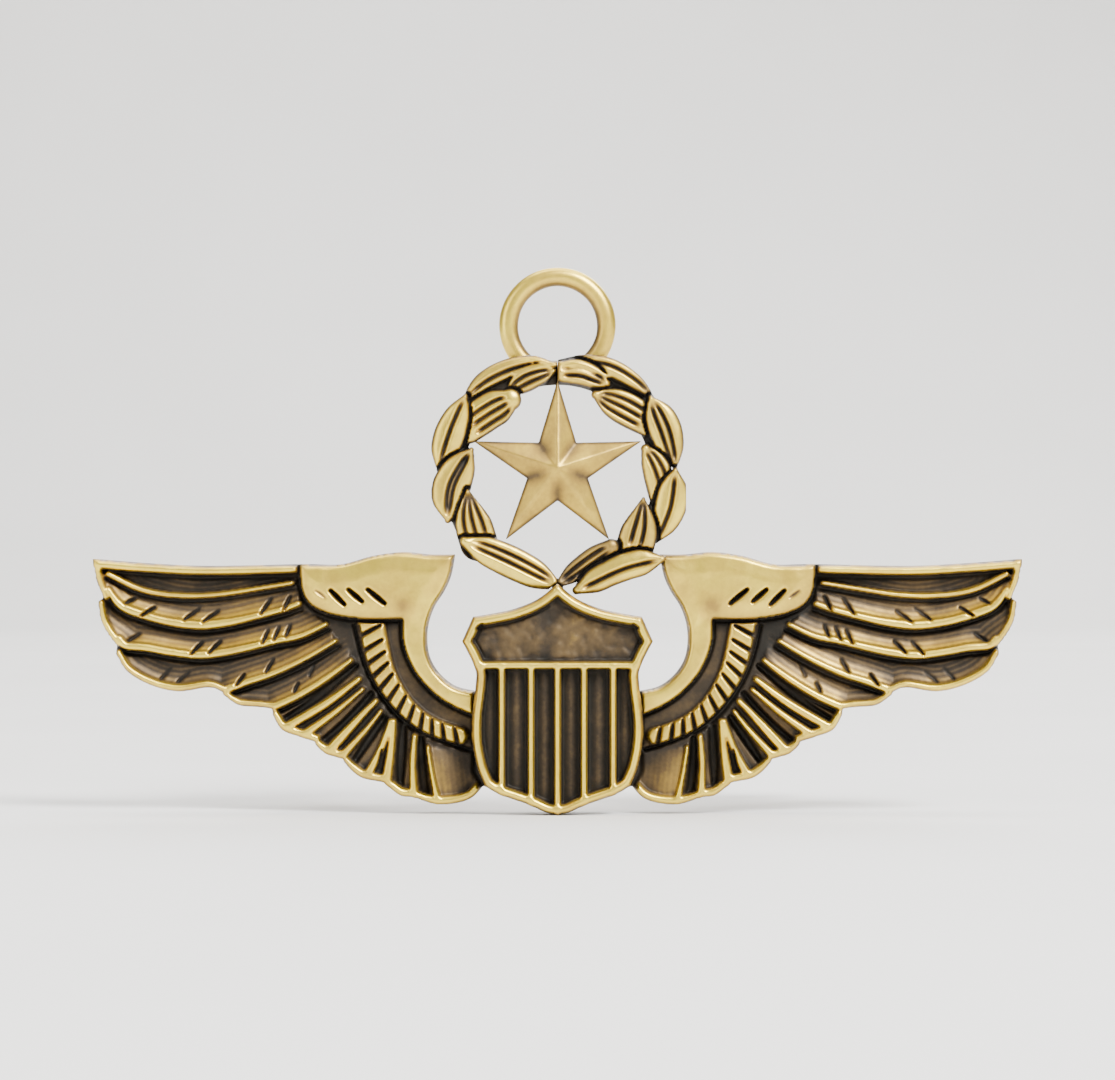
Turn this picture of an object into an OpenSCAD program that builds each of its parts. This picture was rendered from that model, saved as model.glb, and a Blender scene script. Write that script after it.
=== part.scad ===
// Pilot wings pin: two wings, a striped shield, a star in a laurel wreath and a hanging ring, with two
// pointed posts on the back and a butterfly clutch on each post. Worn upright: +X is to the wearer's left
// along the span, +Z is up, the face looks along -Y, and y = 0 is the plane that lies on the cloth.

/* [Overall] */
// Distance from one wing tip to the other
span = 46.6; // [42:0.1:52]
// Thickness of the flat plate behind the wing feathers
plate_t = 1.1; // [0.9:0.05:1.3]

/* [Ring and star] */
// Height of the hanging ring's centre above the posts
ring_z = 16.55; // [16.4:0.05:17]
// Inside radius of the hanging ring
ring_inner_r = 1.97; // [1.6:0.01:2.2]
// Thickness of the ring's wire
ring_wire = 0.98; // [0.8:0.01:1.2]
// Height of the star's centre above the posts
star_z = 9.35; // [9:0.05:9.6]
// Radius to the star's points
star_r = 4.45; // [4:0.05:4.6]
// Radius to the star's inner corners
star_inner_r = 1.62; // [1.2:0.01:2]

/* [Wreath] */
// Height of the wreath's centre above the posts
wreath_z = 8.8; // [8.6:0.05:9]
// Outside radius of the wreath's plate
wreath_r = 5.95; // [5.6:0.05:6.2]
// Inside radius of the wreath's plate
wreath_inner_r = 4.5; // [4.3:0.05:4.7]

/* [Shield] */
// How far the shield's rim stands in front of the back plane
shield_front = 3.0; // [2.7:0.05:3.4]

/* [Posts] */
// Distance of each post from the middle of the pin
post_x = 11.3; // [11:0.1:12]
// Radius of a post
post_r = 0.55; // [0.45:0.01:0.6]
// Length of a post behind the back plane
post_len = 8.2; // [7.5:0.1:9]
// Radius of the round pad that a post is soldered to
pad_r = 1.6; // [1.3:0.05:2]

/* [Clutches] */
// Gap between the back plane and the clutch, filled by the cloth or leather when worn
cloth_gap = 2.3; // [1.5:0.1:2.5]
// Radius of a clutch's base disc
disc_r = 4.0; // [3.9:0.05:4.2]
// Thickness of the clutch's sheet metal
sheet_t = 0.35; // [0.3:0.01:0.4]
// Running clearance around a post and around a hinge pin
run_gap = 0.04; // [0.03:0.005:0.06]

/* [Hidden] */
$fn = 64;

gold = "#c9ad6d";
gold_dark = "#9c8350";
steel = "#b9b29c";

drawn_span = 46.6;                 // the span that the outlines below are drawn at
k = span / drawn_span;

// Layers, each as a distance in front of the back plane
field_f = 1.35;                    // dark ground between the feathers
feather_f = 1.75;                  // feather edges
quill_f = 1.6;
rope_f = 1.7;                      // row of small coverts
band_f = 1.9;                      // curled band
shoulder_f = 2.0;
rim_f = 1.95;                      // leading edge
leaf_f = 2.15;
wreath_plate_f = 1.6;              // the star lies on this
star_front = 2.9;
star_edge_t = 0.35;                // thickness of the star at its edges
lip_back = 1.5;                    // the shield's lip starts here
shield_field_f = 2.3;
shield_rib_f = 2.85;
ring_back = 0.12;

past = 1;                          // how far a cutting shape reaches past what it cuts

// Pads and posts
pad_t = 0.25;
tip_len = 0.9;                     // sharpened end of a post
tip_r = 0.08;
groove_depth = 0.1;                // the clutch's jaws snap into this groove
groove_top = 1.3;                  // its ends, measured from the point
groove_bottom = 2.0;
groove_slope = 0.15;

// Clutch, measured behind its own front
base_t = 0.45;
base_rim_h = 1.0;
plate_top = base_t + sheet_t;
pivot_u = 1.9;                     // hinge pin's distance from the post's axis
pivot_w = 2.4;
hinge_pin_r = 0.26;
barrel_r = 0.42;
jaw_half_gap = 0.12;
jaw_w = 1.45;
lug_inner = 1.75;
lug_outer = 2.2;
finger_tip = [4.1, 5.0];
finger_half = 1.65;
finger_roll_r = 0.26;
lug_r = 0.55;
ear_in = 2.55;                     // an ear reaches from here to the rim
ear_half = 1.3;
ear_gap = 0.32;                    // between an ear's back and the outside of the disc
spring_half = 2.75;                // the spring is cut straight at both sides

// ---------- curves ----------

// One point of a smooth curve through b and c, at t from 0 to 1
function blend_pt(a, b, c, d, t) =
  0.5 * (2 * b + (c - a) * t + (2 * a - 5 * b + 4 * c - d) * t * t + (3 * b - a - 3 * c + d) * t * t * t);

// A smooth curve through every point of p, with n steps between two points
function curve(p, n = 4) =
  let (last = len(p) - 1)
  [for (i = [0 : last - 1]) for (s = [0 : n - 1])
    k * blend_pt(p[max(i - 1, 0)], p[i], p[i + 1], p[min(i + 2, last)], s / n), k * p[last]];

function unit(v) = v / norm(v);
function side_of(q, i) =
  let (d = unit(q[min(i + 1, len(q) - 1)] - q[max(i - 1, 0)])) [-d[1], d[0]];

// Outline of a ribbon along a curve, w0 wide at its start and w1 at its end
function ribbon(p, w0, w1) =
  let (q = curve(p), n = len(q) - 1)
  concat(
    [for (i = [0 : n]) q[i] + side_of(q, i) * (w0 + (w1 - w0) * i / n) * k / 2],
    [for (i = [n : -1 : 0]) q[i] - side_of(q, i) * (w0 + (w1 - w0) * i / n) * k / 2]);

// Outline of a pointed leaf from a to b, w wide in the middle
function leaf(a, b, w, n = 8) =
  let (d = b - a, s = [-d[1], d[0]] / norm(d) * w / 2)
  k * concat([for (i = [0 : n]) a + d * i / n + s * sin(180 * i / n)],
    [for (i = [n - 1 : -1 : 1]) a + d * i / n - s * sin(180 * i / n)]);

// Extrudes a face outline between two distances in front of the back plane
module slab(back, front) {
  translate([0, -back, 0]) rotate([90, 0, 0]) linear_extrude(front - back) children();
}

// Turns something built on +Z to stand behind the back plane, at height y and span position x
module behind(x, y) {
  translate([x, y, 0]) rotate([-90, 0, 0]) children();
}

module mirrored(side) {
  mirror([side < 0 ? 1 : 0, 0, 0]) children();
}

// ---------- wings, drawn for +X ----------

TOP_EDGE = [[5.15, 5.05], [6.4, 5.05], [7.8, 5.2], [9.45, 4.9], [11, 4.55], [12.9, 4.56], [18, 4.5], [23.3, 4.85]];
BAND_INNER = [[4.15, -1.83], [5.25, -1.46], [6.0, -0.8], [6.4, 0.1], [6.5, 1.27], [6.2, 2.2], [5.6, 3.1], [5.25, 4.1]];
TIP_LOBES = [
  [[23.3, 4.85], [23.1, 3.9], [22.8, 2.84]],
  [[23.0, 2.6], [22.7, 1.4], [22.1, 0.47]],
  [[22.1, 0.06], [21.4, -1.0], [20.2, -1.5], [18.9, -1.82], [17.4, -1.57], [16.7, -1.86]],
  [[16.5, -2.2], [15.3, -2.55], [14.1, -2.7]],
  [[14.0, -2.9], [13.4, -3.7], [12.2, -4.4], [11.0, -5.16]],
  [[10.6, -5.4], [9.9, -6.1], [8.7, -6.4]],
  [[8.6, -6.6], [7.6, -7.1]],
  [[7.4, -7.1], [6.15, -7.5], [5.25, -7.5], [3.8, -6.75]]];
ROOT_IN = 3.4;
FEATHER_EDGES = [
  [[22.4, 3.25], [21.7, 2.35], [20.2, 1.77], [17.7, 1.45], [15.7, 1.77], [13.1, 2.5]],
  [[22.0, 1.04], [21.4, 0.47], [19.8, 0.15], [17.7, 0.0], [15.7, 0.3], [14.0, 0.7], [11.6, 1.5]],
  [[16.4, -1.6], [14.4, -0.92], [12.4, 0.22], [11.1, 0.8]],
  [[14.1, -2.5], [12.8, -1.74], [11.1, -0.84], [10.4, -0.46]]];
TIP_EDGE = [[21.9, 0.0], [21.2, -0.85], [20.2, -1.25], [18.9, -1.5], [17.4, -1.4]];
QUILL = [[22.5, 4.0], [20.6, 3.25], [18.1, 3.0], [15.7, 3.25], [13.3, 3.58]];
SECONDARIES = [
  [[12.6, -3.6], [11, -2.4], [9.9, -1.4]],
  [[10.8, -4.7], [9.6, -3.2], [9.0, -2.4]],
  [[9.3, -5.75], [8.6, -4.3], [8.35, -3.2]],
  [[7.3, -6.66], [7.25, -5.4], [7.2, -4.3]],
  [[5.9, -7.0], [6.1, -6.0], [6.3, -4.9]]];
ROPE = [[9.5, 1.37], [9.1, 0.18], [8.5, -1.0], [7.8, -2.4], [6.7, -3.4], [5.4, -3.9], [4.9, -4.1]];
BAND = [[7.15, 1.5], [7.0, 0.3], [6.6, -0.9], [5.75, -1.85], [4.8, -2.35]];
SHOULDER_LOW = [[12.85, 4.3], [12.75, 3.3], [12.2, 2.46], [11, 2.0], [9.2, 1.73], [7.8, 1.77], [6.6, 1.5]];
SHOULDER_IN = [[6.55, 1.27], [6.25, 2.2], [5.65, 3.1], [5.35, 4.0], [5.8, 4.6]];
SHOULDER_TOP = [[6.6, 4.95], [7.8, 5.1], [9.45, 4.8], [11, 4.45], [12.7, 4.4]];
CUTS = [[8.95, 2.9], [9.95, 2.96], [10.95, 2.87]];
CUT_SIZE = [1.1, 0.3];
NOTCH_SIZE = [1.4, 0.16];
NOTCH_LEAN = 25;
ROPE_NOTCHES = 11;

module wing_outline() {
  polygon(concat(curve(TOP_EDGE), [for (lobe = TIP_LOBES) each curve(lobe)],
    k * [[ROOT_IN, -6.5], [ROOT_IN, -1.95]], curve(BAND_INNER)));
}

// Dark ground inside the outline, stopped short of the shield
module wing_field() {
  polygon(concat(curve([[12.9, 4.3], [18, 4.2], [22.9, 4.4]]), curve([[22.6, 2.9], [22.1, 0.9]]),
    curve([[21.6, -0.4], [20.2, -1.2], [18.9, -1.5], [16.7, -1.6]]), curve([[15.3, -2.3], [13.8, -2.9]]),
    curve([[12.2, -4.1], [9.9, -5.7], [7.6, -6.7], [5.3, -7.1]]),
    k * [[4.6, -6.9], [4.6, -3.0]], curve([[5.7, -2.6], [7.3, -1.0], [8.0, 1.7]])));
}

module wing_cut(at) {
  translate([k * at[0], k * at[1]]) rotate(45) square(CUT_SIZE, center = true);
}

module rope_notch(i) {
  p = curve(ROPE);
  n = round((i + 0.5) * (len(p) - 1) / ROPE_NOTCHES);
  d = side_of(p, n);
  translate(p[n]) rotate(atan2(d[1], d[0]) - NOTCH_LEAN) square(NOTCH_SIZE, center = true);
}

module wing(side) {
  color(gold) mirrored(side) {
    slab(0, plate_t) wing_outline();
    slab(plate_t, field_f) wing_field();
    slab(plate_t, rim_f) polygon(ribbon([[12.9, 4.3], [18, 4.24], [23.0, 4.55]], 0.4, 0.4));
    slab(plate_t, quill_f) polygon(ribbon(QUILL, 0.3, 0.45));
    for (edge = FEATHER_EDGES) slab(plate_t, feather_f) polygon(ribbon(edge, 0.35, 0.4));
    slab(plate_t, feather_f) polygon(ribbon(TIP_EDGE, 0.35, 0.35));
    for (bar = SECONDARIES) slab(plate_t, feather_f) polygon(ribbon(bar, 0.75, 0.6));
    slab(plate_t, band_f) polygon(ribbon(BAND, 1.25, 0.9));
    difference() {
      slab(plate_t, rope_f) polygon(ribbon(ROPE, 0.95, 0.95));
      for (i = [0 : ROPE_NOTCHES - 1]) slab(field_f, rope_f + past) rope_notch(i);
    }
    difference() {
      slab(plate_t, shoulder_f)
        polygon(concat(curve(SHOULDER_LOW), curve(SHOULDER_IN), curve(SHOULDER_TOP)));
      for (at = CUTS) slab(quill_f, shoulder_f + past) wing_cut(at);
    }
  }
}

module left_wing() wing(-1);
module right_wing() wing(1);

// ---------- shield ----------

SHIELD_HALF = [
  [[0, 3.6], [0.95, 2.84], [2.1, 2.35], [3.05, 2.12], [4.2, 1.9]],
  [[4.75, 0.75]],
  [[4.1, -0.58], [4.05, -1.43], [4.3, -3.3], [4.25, -4.3], [3.95, -5.6], [3.6, -6.5]],
  [[2.35, -7.1], [0.9, -7.75], [0, -7.95]]];
CHIEF_HALF = [[0, 2.95], [1.0, 2.3], [2.1, 1.85], [3.9, 1.45], [4.3, 0.75], [3.75, -0.22], [0, -0.22]];
SLOTS = [[0.17, 1.18, -7.25], [1.57, 2.6, -6.85], [2.97, 3.68, -5.95]];
SLOT_TOP = -0.65;
SLOT_SLANT = 0.25;                  // the slots' lower ends follow the shield's point
RIB_AREA = [[-3.1, -1.0], [3.1, -1.0], [3.1, -6.2], [-3.1, -6.2]];   // the ribs are a little lower than the rim

module both_halves(half) {
  polygon(concat(half, [for (i = [len(half) - 1 : -1 : 0]) if (half[i][0] > 0) [-half[i][0], half[i][1]]]));
}

module shield_outline() {
  both_halves([for (run = SHIELD_HALF) each len(run) > 1 ? curve(run) : [k * run[0]]]);
}

module shield_foot() {
  both_halves(k * [[0, 3.9], [0.45, 3.9], [0.45, 1.6], [3.35, 1.3], [3.35, -5.9], [1.6, -6.9], [0, -7.2]]);
}

module shield() {
  color(gold) {
    slab(0, plate_t) shield_foot();
    slab(plate_t, lip_back) intersection() { shield_foot(); shield_outline(); }
    difference() {
      slab(lip_back, shield_front) shield_outline();
      slab(shield_field_f, shield_front + past) both_halves(k * CHIEF_HALF);
      for (s = SLOTS) for (m = [0, 1]) mirror([m, 0, 0])
        slab(shield_field_f, shield_front + past)
          polygon(k * [[s[0], SLOT_TOP], [s[1], SLOT_TOP], [s[1], s[2]], [s[0], s[2] - SLOT_SLANT]]);
      slab(shield_rib_f, shield_front + past) polygon(k * RIB_AREA);
    }
  }
}

// ---------- star and wreath ----------

function star_points(r, inner) =
  [for (i = [0 : 9]) (i % 2 == 0 ? r : inner) * k * [sin(36 * i), cos(36 * i)]];

module star_outline(grow = 0) {
  translate([0, star_z * k]) polygon(star_points(star_r + grow, star_inner_r + grow / 2));
}

// Each point of the star is a ridge: flats fall away from the ridge to the edges
module star() {
  rise = star_front - wreath_plate_f - star_edge_t;
  color(gold) {
    slab(wreath_plate_f, wreath_plate_f + star_edge_t) star_outline();
    translate([0, -wreath_plate_f - star_edge_t, star_z * k]) rotate([90, 0, 0])
      polyhedron(
        points = concat([[0, 0, rise], [0, 0, 0]],
          [for (p = star_points(star_r, star_inner_r)) [p[0], p[1], 0]]),
        faces = [for (i = [0 : 9]) each [[0, i + 2, (i + 1) % 10 + 2], [1, (i + 1) % 10 + 2, i + 2]]]);
  }
}

// Leaves of one branch, drawn for +X: start, tip and width
LEAVES = [
  [[2.5, 13.35], [0.35, 14.1], 0.95],
  [[4.45, 12.95], [1.6, 14.5], 0.85],
  [[4.3, 11.55], [2.4, 12.9], 1.25],
  [[5.85, 9.75], [4.75, 12.9], 1.2],
  [[5.0, 7.4], [4.5, 10.2], 1.0],
  [[4.95, 6.5], [5.75, 9.3], 1.0],
  [[4.0, 5.75], [4.6, 8.0], 1.25],
  [[4.75, 5.3], [0.12, 3.95], 1.15]];
LEAF_PLATE = [[5.75, 5.35], [5.55, 4.85], [4.9, 4.45], [3.4, 3.7], [1.3, 3.45], [0.02, 3.7], [0.02, 4.15], [1.6, 5.2], [3.4, 6.2]];

module branch_plate() {
  difference() {
    translate([0, wreath_z * k]) circle(r = wreath_r * k);
    translate([0, wreath_z * k]) circle(r = wreath_inner_r * k);
    translate([0, -20]) square([80, 2 * (6.3 * k + 20)], center = true);
    translate([-20 + 0.02, 0]) square([40, 80], center = true);
  }
  polygon(k * LEAF_PLATE);
}

module leaf_groove(l) {
  d = l[1] - l[0];
  polygon(leaf(l[0] + d * 0.15, l[0] + d * 0.85, 0.3, 4));
}

module branch(side) {
  color(gold_dark) mirrored(side) difference() {
    union() {
      slab(plate_t, wreath_plate_f) branch_plate();
      for (l = LEAVES) slab(plate_t, leaf_f) polygon(leaf(l[0], l[1], l[2]));
    }
    for (l = LEAVES) slab(leaf_f - 0.3, leaf_f + past) leaf_groove(l);
    slab(wreath_plate_f, leaf_f + past) star_outline(0.12);
    slab(plate_t - past, leaf_f + past) shield_clear();
  }
}

// Room for the shield's apex below the crossing leaves
module shield_clear() {
  polygon(k * [[-0.6, 3.3], [0, 3.75], [1.0, 3.0], [2.2, 2.5], [-0.6, 2]]);
}

module wreath_left_branch() branch(-1);
module wreath_right_branch() branch(1);

module hanging_ring() {
  outer = ring_inner_r + ring_wire;
  flat = 0.3;                       // straight part of the outside wall; its corners are rounded off
  color(gold) translate([0, -ring_back, ring_z * k]) rotate([90, 0, 0]) difference() {
    rotate_extrude() polygon(concat([[1, 0]],
      [for (a = [-90 : 15 : 0]) [outer - flat + flat * cos(a), flat + flat * sin(a)]],
      [for (a = [0 : 15 : 90]) [outer - flat + flat * cos(a), plate_t - ring_back - flat + flat * sin(a)]],
      [[1, plate_t - ring_back]]));
    translate([0, 0, -past]) cylinder(h = 4 * past, r = ring_inner_r);
  }
}

// ---------- posts ----------

module post_pad(x) {
  color(steel) behind(x, 0) difference() {
    union() {
      cylinder(h = pad_t, r = pad_r);
      translate([0, 0, pad_t]) cylinder(h = pad_t, r1 = pad_r, r2 = pad_r * 0.6);
    }
    translate([0, 0, -past]) cylinder(h = 3 * past, r = post_r);
  }
}

// A post with a groove near its tip for the clutch's jaws to snap into, and a sharp point
module post(x) {
  color(steel) behind(x, 0) rotate_extrude() polygon([
    [0, 0], [post_r, 0], [post_r, post_len - groove_bottom],
    [post_r - groove_depth, post_len - groove_bottom + groove_slope],
    [post_r - groove_depth, post_len - groove_top - groove_slope], [post_r, post_len - groove_top],
    [post_r, post_len - tip_len], [tip_r, post_len], [0, post_len]]);
}

module left_post_pad() post_pad(-post_x);
module right_post_pad() post_pad(post_x);
module left_post() post(-post_x);
module right_post() post(post_x);

// ---------- clutches, built behind their own front ----------

module clutch_base(x) {
  ear_out = disc_r - ear_gap;
  countersink = 0.2;
  color(steel) behind(x, cloth_gap) difference() {
    union() {
      cylinder(h = base_t, r = disc_r);
      difference() {
        cylinder(h = base_rim_h, r = disc_r);
        translate([0, 0, base_t]) cylinder(h = base_rim_h, r = disc_r - sheet_t);
      }
      for (s = [-1, 1]) {
        translate([-ear_half, min(s * ear_out, s * (ear_out - sheet_t)), base_t])
          cube([2 * ear_half, sheet_t, plate_top + sheet_t - base_t]);
        translate([-ear_half, min(s * ear_in, s * ear_out), plate_top])
          cube([2 * ear_half, ear_out - ear_in, sheet_t]);
      }
    }
    translate([0, 0, -past]) cylinder(h = 4 * past, r = post_r + run_gap);
    translate([0, 0, -0.01]) cylinder(h = countersink, r1 = post_r + 3 * countersink, r2 = post_r + run_gap);
  }
}

// Sheet spring held under the base's ears, with four lugs that carry the two hinge pins
module clutch_spring(x) {
  side_gap = 0.02;
  half_length = disc_r - ear_gap - sheet_t - side_gap;
  rim_gap = 0.1;
  hole_r = post_r + 0.25;
  color(steel) behind(x, cloth_gap) difference() {
    union() {
      translate([0, 0, base_t]) intersection() {
        cylinder(h = sheet_t, r = disc_r - sheet_t - rim_gap);
        translate([-spring_half, -half_length, -past]) cube([2 * spring_half, 2 * half_length, 4 * past]);
      }
      for (u = [-pivot_u, pivot_u]) for (v = [-lug_outer, lug_inner]) {
        translate([u - lug_r, v, base_t]) cube([2 * lug_r, lug_outer - lug_inner, pivot_w - base_t]);
        translate([u, v, pivot_w]) rotate([-90, 0, 0]) cylinder(h = lug_outer - lug_inner, r = lug_r);
      }
    }
    translate([0, 0, -past]) cylinder(h = 4 * past, r = hole_r);
    for (u = [-pivot_u, pivot_u]) translate([u, -disc_r, pivot_w]) rotate([-90, 0, 0])
      cylinder(h = 2 * disc_r, r = hinge_pin_r + run_gap);
  }
}

// One wing lever: finger plate, hinge barrel with its pin, and a notched jaw. Drawn for the +X side
module clutch_wing(x, side) {
  pivot = [pivot_u, pivot_w];
  along = unit(finger_tip - pivot);
  across = [along[1], -along[0]] * sheet_t / 2;
  color(steel) behind(x, cloth_gap) mirrored(side) difference() {
    union() {
      rotate([90, 0, 0]) translate([0, 0, -finger_half]) linear_extrude(2 * finger_half) {
        polygon([pivot + across, finger_tip + across, finger_tip - across, pivot - across]);
        polygon([[jaw_half_gap, jaw_w], [pivot_u, pivot_w - barrel_r], [pivot_u - 0.2, pivot_w],
          [jaw_half_gap, jaw_w + sheet_t]]);
      }
      translate([pivot_u, 0, pivot_w]) rotate([90, 0, 0]) {
        cylinder(h = 2 * (lug_inner - run_gap), r = barrel_r, center = true);
        cylinder(h = 2 * lug_outer, r = hinge_pin_r, center = true);
      }
      translate([finger_tip[0], 0, finger_tip[1]]) rotate([90, 0, 0])
        cylinder(h = 2 * finger_half, r = finger_roll_r, center = true);
    }
    cylinder(h = 2 * finger_tip[1], r = post_r + run_gap);
  }
}

module left_clutch_base() clutch_base(-post_x);
module right_clutch_base() clutch_base(post_x);
module left_clutch_spring() clutch_spring(-post_x);
module right_clutch_spring() clutch_spring(post_x);
module left_clutch_inner_wing() clutch_wing(-post_x, 1);
module left_clutch_outer_wing() clutch_wing(-post_x, -1);
module right_clutch_inner_wing() clutch_wing(post_x, -1);
module right_clutch_outer_wing() clutch_wing(post_x, 1);

left_wing();
right_wing();
shield();
star();
wreath_left_branch();
wreath_right_branch();
hanging_ring();
left_post_pad();
right_post_pad();
left_post();
right_post();
left_clutch_base();
right_clutch_base();
left_clutch_spring();
right_clutch_spring();
left_clutch_inner_wing();
left_clutch_outer_wing();
right_clutch_inner_wing();
right_clutch_outer_wing();
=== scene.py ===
import math

import bmesh
import bpy
import numpy as np
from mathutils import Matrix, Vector


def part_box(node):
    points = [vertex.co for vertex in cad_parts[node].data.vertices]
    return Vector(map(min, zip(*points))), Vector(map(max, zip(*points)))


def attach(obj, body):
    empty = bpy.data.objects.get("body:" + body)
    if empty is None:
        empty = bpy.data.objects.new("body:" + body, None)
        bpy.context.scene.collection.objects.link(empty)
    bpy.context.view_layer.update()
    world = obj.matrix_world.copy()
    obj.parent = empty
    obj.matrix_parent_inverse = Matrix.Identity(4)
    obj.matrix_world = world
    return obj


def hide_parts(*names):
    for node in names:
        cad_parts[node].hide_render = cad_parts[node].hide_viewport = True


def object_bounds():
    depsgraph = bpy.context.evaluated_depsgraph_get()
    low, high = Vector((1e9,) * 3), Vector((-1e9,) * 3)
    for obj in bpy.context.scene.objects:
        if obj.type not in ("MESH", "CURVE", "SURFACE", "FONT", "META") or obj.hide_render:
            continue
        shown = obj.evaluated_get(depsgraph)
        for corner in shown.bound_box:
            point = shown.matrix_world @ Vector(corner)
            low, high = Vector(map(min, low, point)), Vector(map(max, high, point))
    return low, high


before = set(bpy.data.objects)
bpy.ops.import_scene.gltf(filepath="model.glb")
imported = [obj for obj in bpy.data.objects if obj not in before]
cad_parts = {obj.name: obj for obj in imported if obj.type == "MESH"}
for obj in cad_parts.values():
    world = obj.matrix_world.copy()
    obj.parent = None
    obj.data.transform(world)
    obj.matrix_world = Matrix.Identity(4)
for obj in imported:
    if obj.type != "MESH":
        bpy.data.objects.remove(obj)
CAD_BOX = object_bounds()

MM = 0.001
STEP = 0.06                     # grid of the relief, in mm
DRAWN_SPAN = 46.6               # the outlines below are drawn at this span, in mm
VANE_LINE = 0.26                # distance between the fine lines of a feather, in mm
WALL_WEAR = 0.36                # how worn the cut edges of the castings are
SPREAD = 0.6                    # how far a surface is laid past its outline, in grid steps
SHARP = math.radians(38)        # bent metal stays sharp where it turns by more than this
K = (CAD_BOX[1][0] - CAD_BOX[0][0]) / MM / DRAWN_SPAN


def measured(node):
    """The middle of a node along the span, and where it starts behind the back plane, in mm."""
    low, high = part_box(node)
    return (low[0] + high[0]) / 2 / MM, low[1] / MM


# ---------- curves and distances, all in mm on the face, x along the span and z up ----------

def curve(points, steps=6):
    """A smooth curve through every point."""
    p = np.array(points, float)
    a = np.vstack([p[:1], p, p[-1:]])
    out = []
    for i in range(1, len(a) - 2):
        for t in np.arange(steps) / steps:
            out.append(0.5 * (2 * a[i] + (a[i + 1] - a[i - 1]) * t
                              + (2 * a[i - 1] - 5 * a[i] + 4 * a[i + 1] - a[i + 2]) * t ** 2
                              + (3 * a[i] - a[i - 1] - 3 * a[i + 1] + a[i + 2]) * t ** 3))
    return np.array(out + [p[-1]])


def runs(*parts):
    """An outline from smooth runs that meet at corners."""
    return np.vstack([curve(part) for part in parts])


def smooth(low, high, value):
    t = np.clip((value - low) / (high - low), 0, 1)
    return t * t * (3 - 2 * t)


def bell(distance, reach):
    """1 at no distance, fading over reach."""
    return np.exp(-(distance / reach) ** 2)


def drop(depth, width):
    """How far a border that is rounded over a width has fallen, at a depth inside it."""
    return width * (1 - np.sqrt(1 - np.clip(1 - depth / width, 0, 1) ** 2))


def tangents(path):
    """Unit directions along a path."""
    d = np.gradient(path, axis=0)
    return d / np.hypot(d[:, 0], d[:, 1])[:, None]


def inset(path, amount):
    """A smooth path moved sideways, to its left if amount is positive."""
    p = curve(path)
    d = tangents(p)
    return p + np.stack([-d[:, 1], d[:, 0]], 1) * amount


def inset_outline(outline, amount):
    """A closed outline drawn in by a small amount."""
    p = np.asarray(outline, float)
    d = np.roll(p, -1, axis=0) - np.roll(p, 1, axis=0)
    d /= np.hypot(d[:, 0], d[:, 1])[:, None] + 1e-9
    area = np.sum(p[:, 0] * np.roll(p[:, 1], -1) - np.roll(p[:, 0], -1) * p[:, 1])
    return p + np.stack([-d[:, 1], d[:, 0]], 1) * amount * np.sign(area)


def path_distance(path, x, z):
    """Distance to an open path, how far along it the nearest point is (0 to 1), and the side."""
    path = np.asarray(path, float)
    seg = np.diff(path, axis=0)
    length = np.hypot(seg[:, 0], seg[:, 1])
    start = np.concatenate([[0], np.cumsum(length)])
    best = np.full(x.shape, 1e9)
    along = np.zeros(x.shape)
    side = np.zeros(x.shape)
    for a, d, n, s in zip(path[:-1], seg, length, start):
        t = np.clip(((x - a[0]) * d[0] + (z - a[1]) * d[1]) / (n * n + 1e-12), 0, 1)
        dx, dz = x - a[0] - t * d[0], z - a[1] - t * d[1]
        r = np.hypot(dx, dz)
        near = r < best
        best = np.where(near, r, best)
        along = np.where(near, (s + t * n) / start[-1], along)
        side = np.where(near, np.sign(d[0] * dz - d[1] * dx), side)
    return best, along, side


def width_at(widths, along):
    """Width at a place along a path, from widths spaced evenly along it."""
    run = curve(np.stack([np.linspace(0, 1, len(widths)), widths], 1), 8)
    return np.maximum(np.interp(along, run[:, 0], run[:, 1]), 0.01)


def outline_distance(outline, x, z):
    """Signed distance to a closed outline, negative inside."""
    p = np.asarray(outline, float)
    q = np.roll(p, -1, axis=0)
    inside = np.zeros(x.shape, bool)
    for a, b in zip(p, q):
        if a[1] != b[1]:
            crosses = (a[1] > z) != (b[1] > z)
            inside ^= crosses & (x < (b[0] - a[0]) * (z - a[1]) / (b[1] - a[1]) + a[0])
    distance, _, _ = path_distance(np.vstack([p, p[:1]]), x, z)
    return np.where(inside, -distance, distance)


# ---------- relief: a height in front of the back plane, and its wear with painted highlight and shade ---

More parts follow.
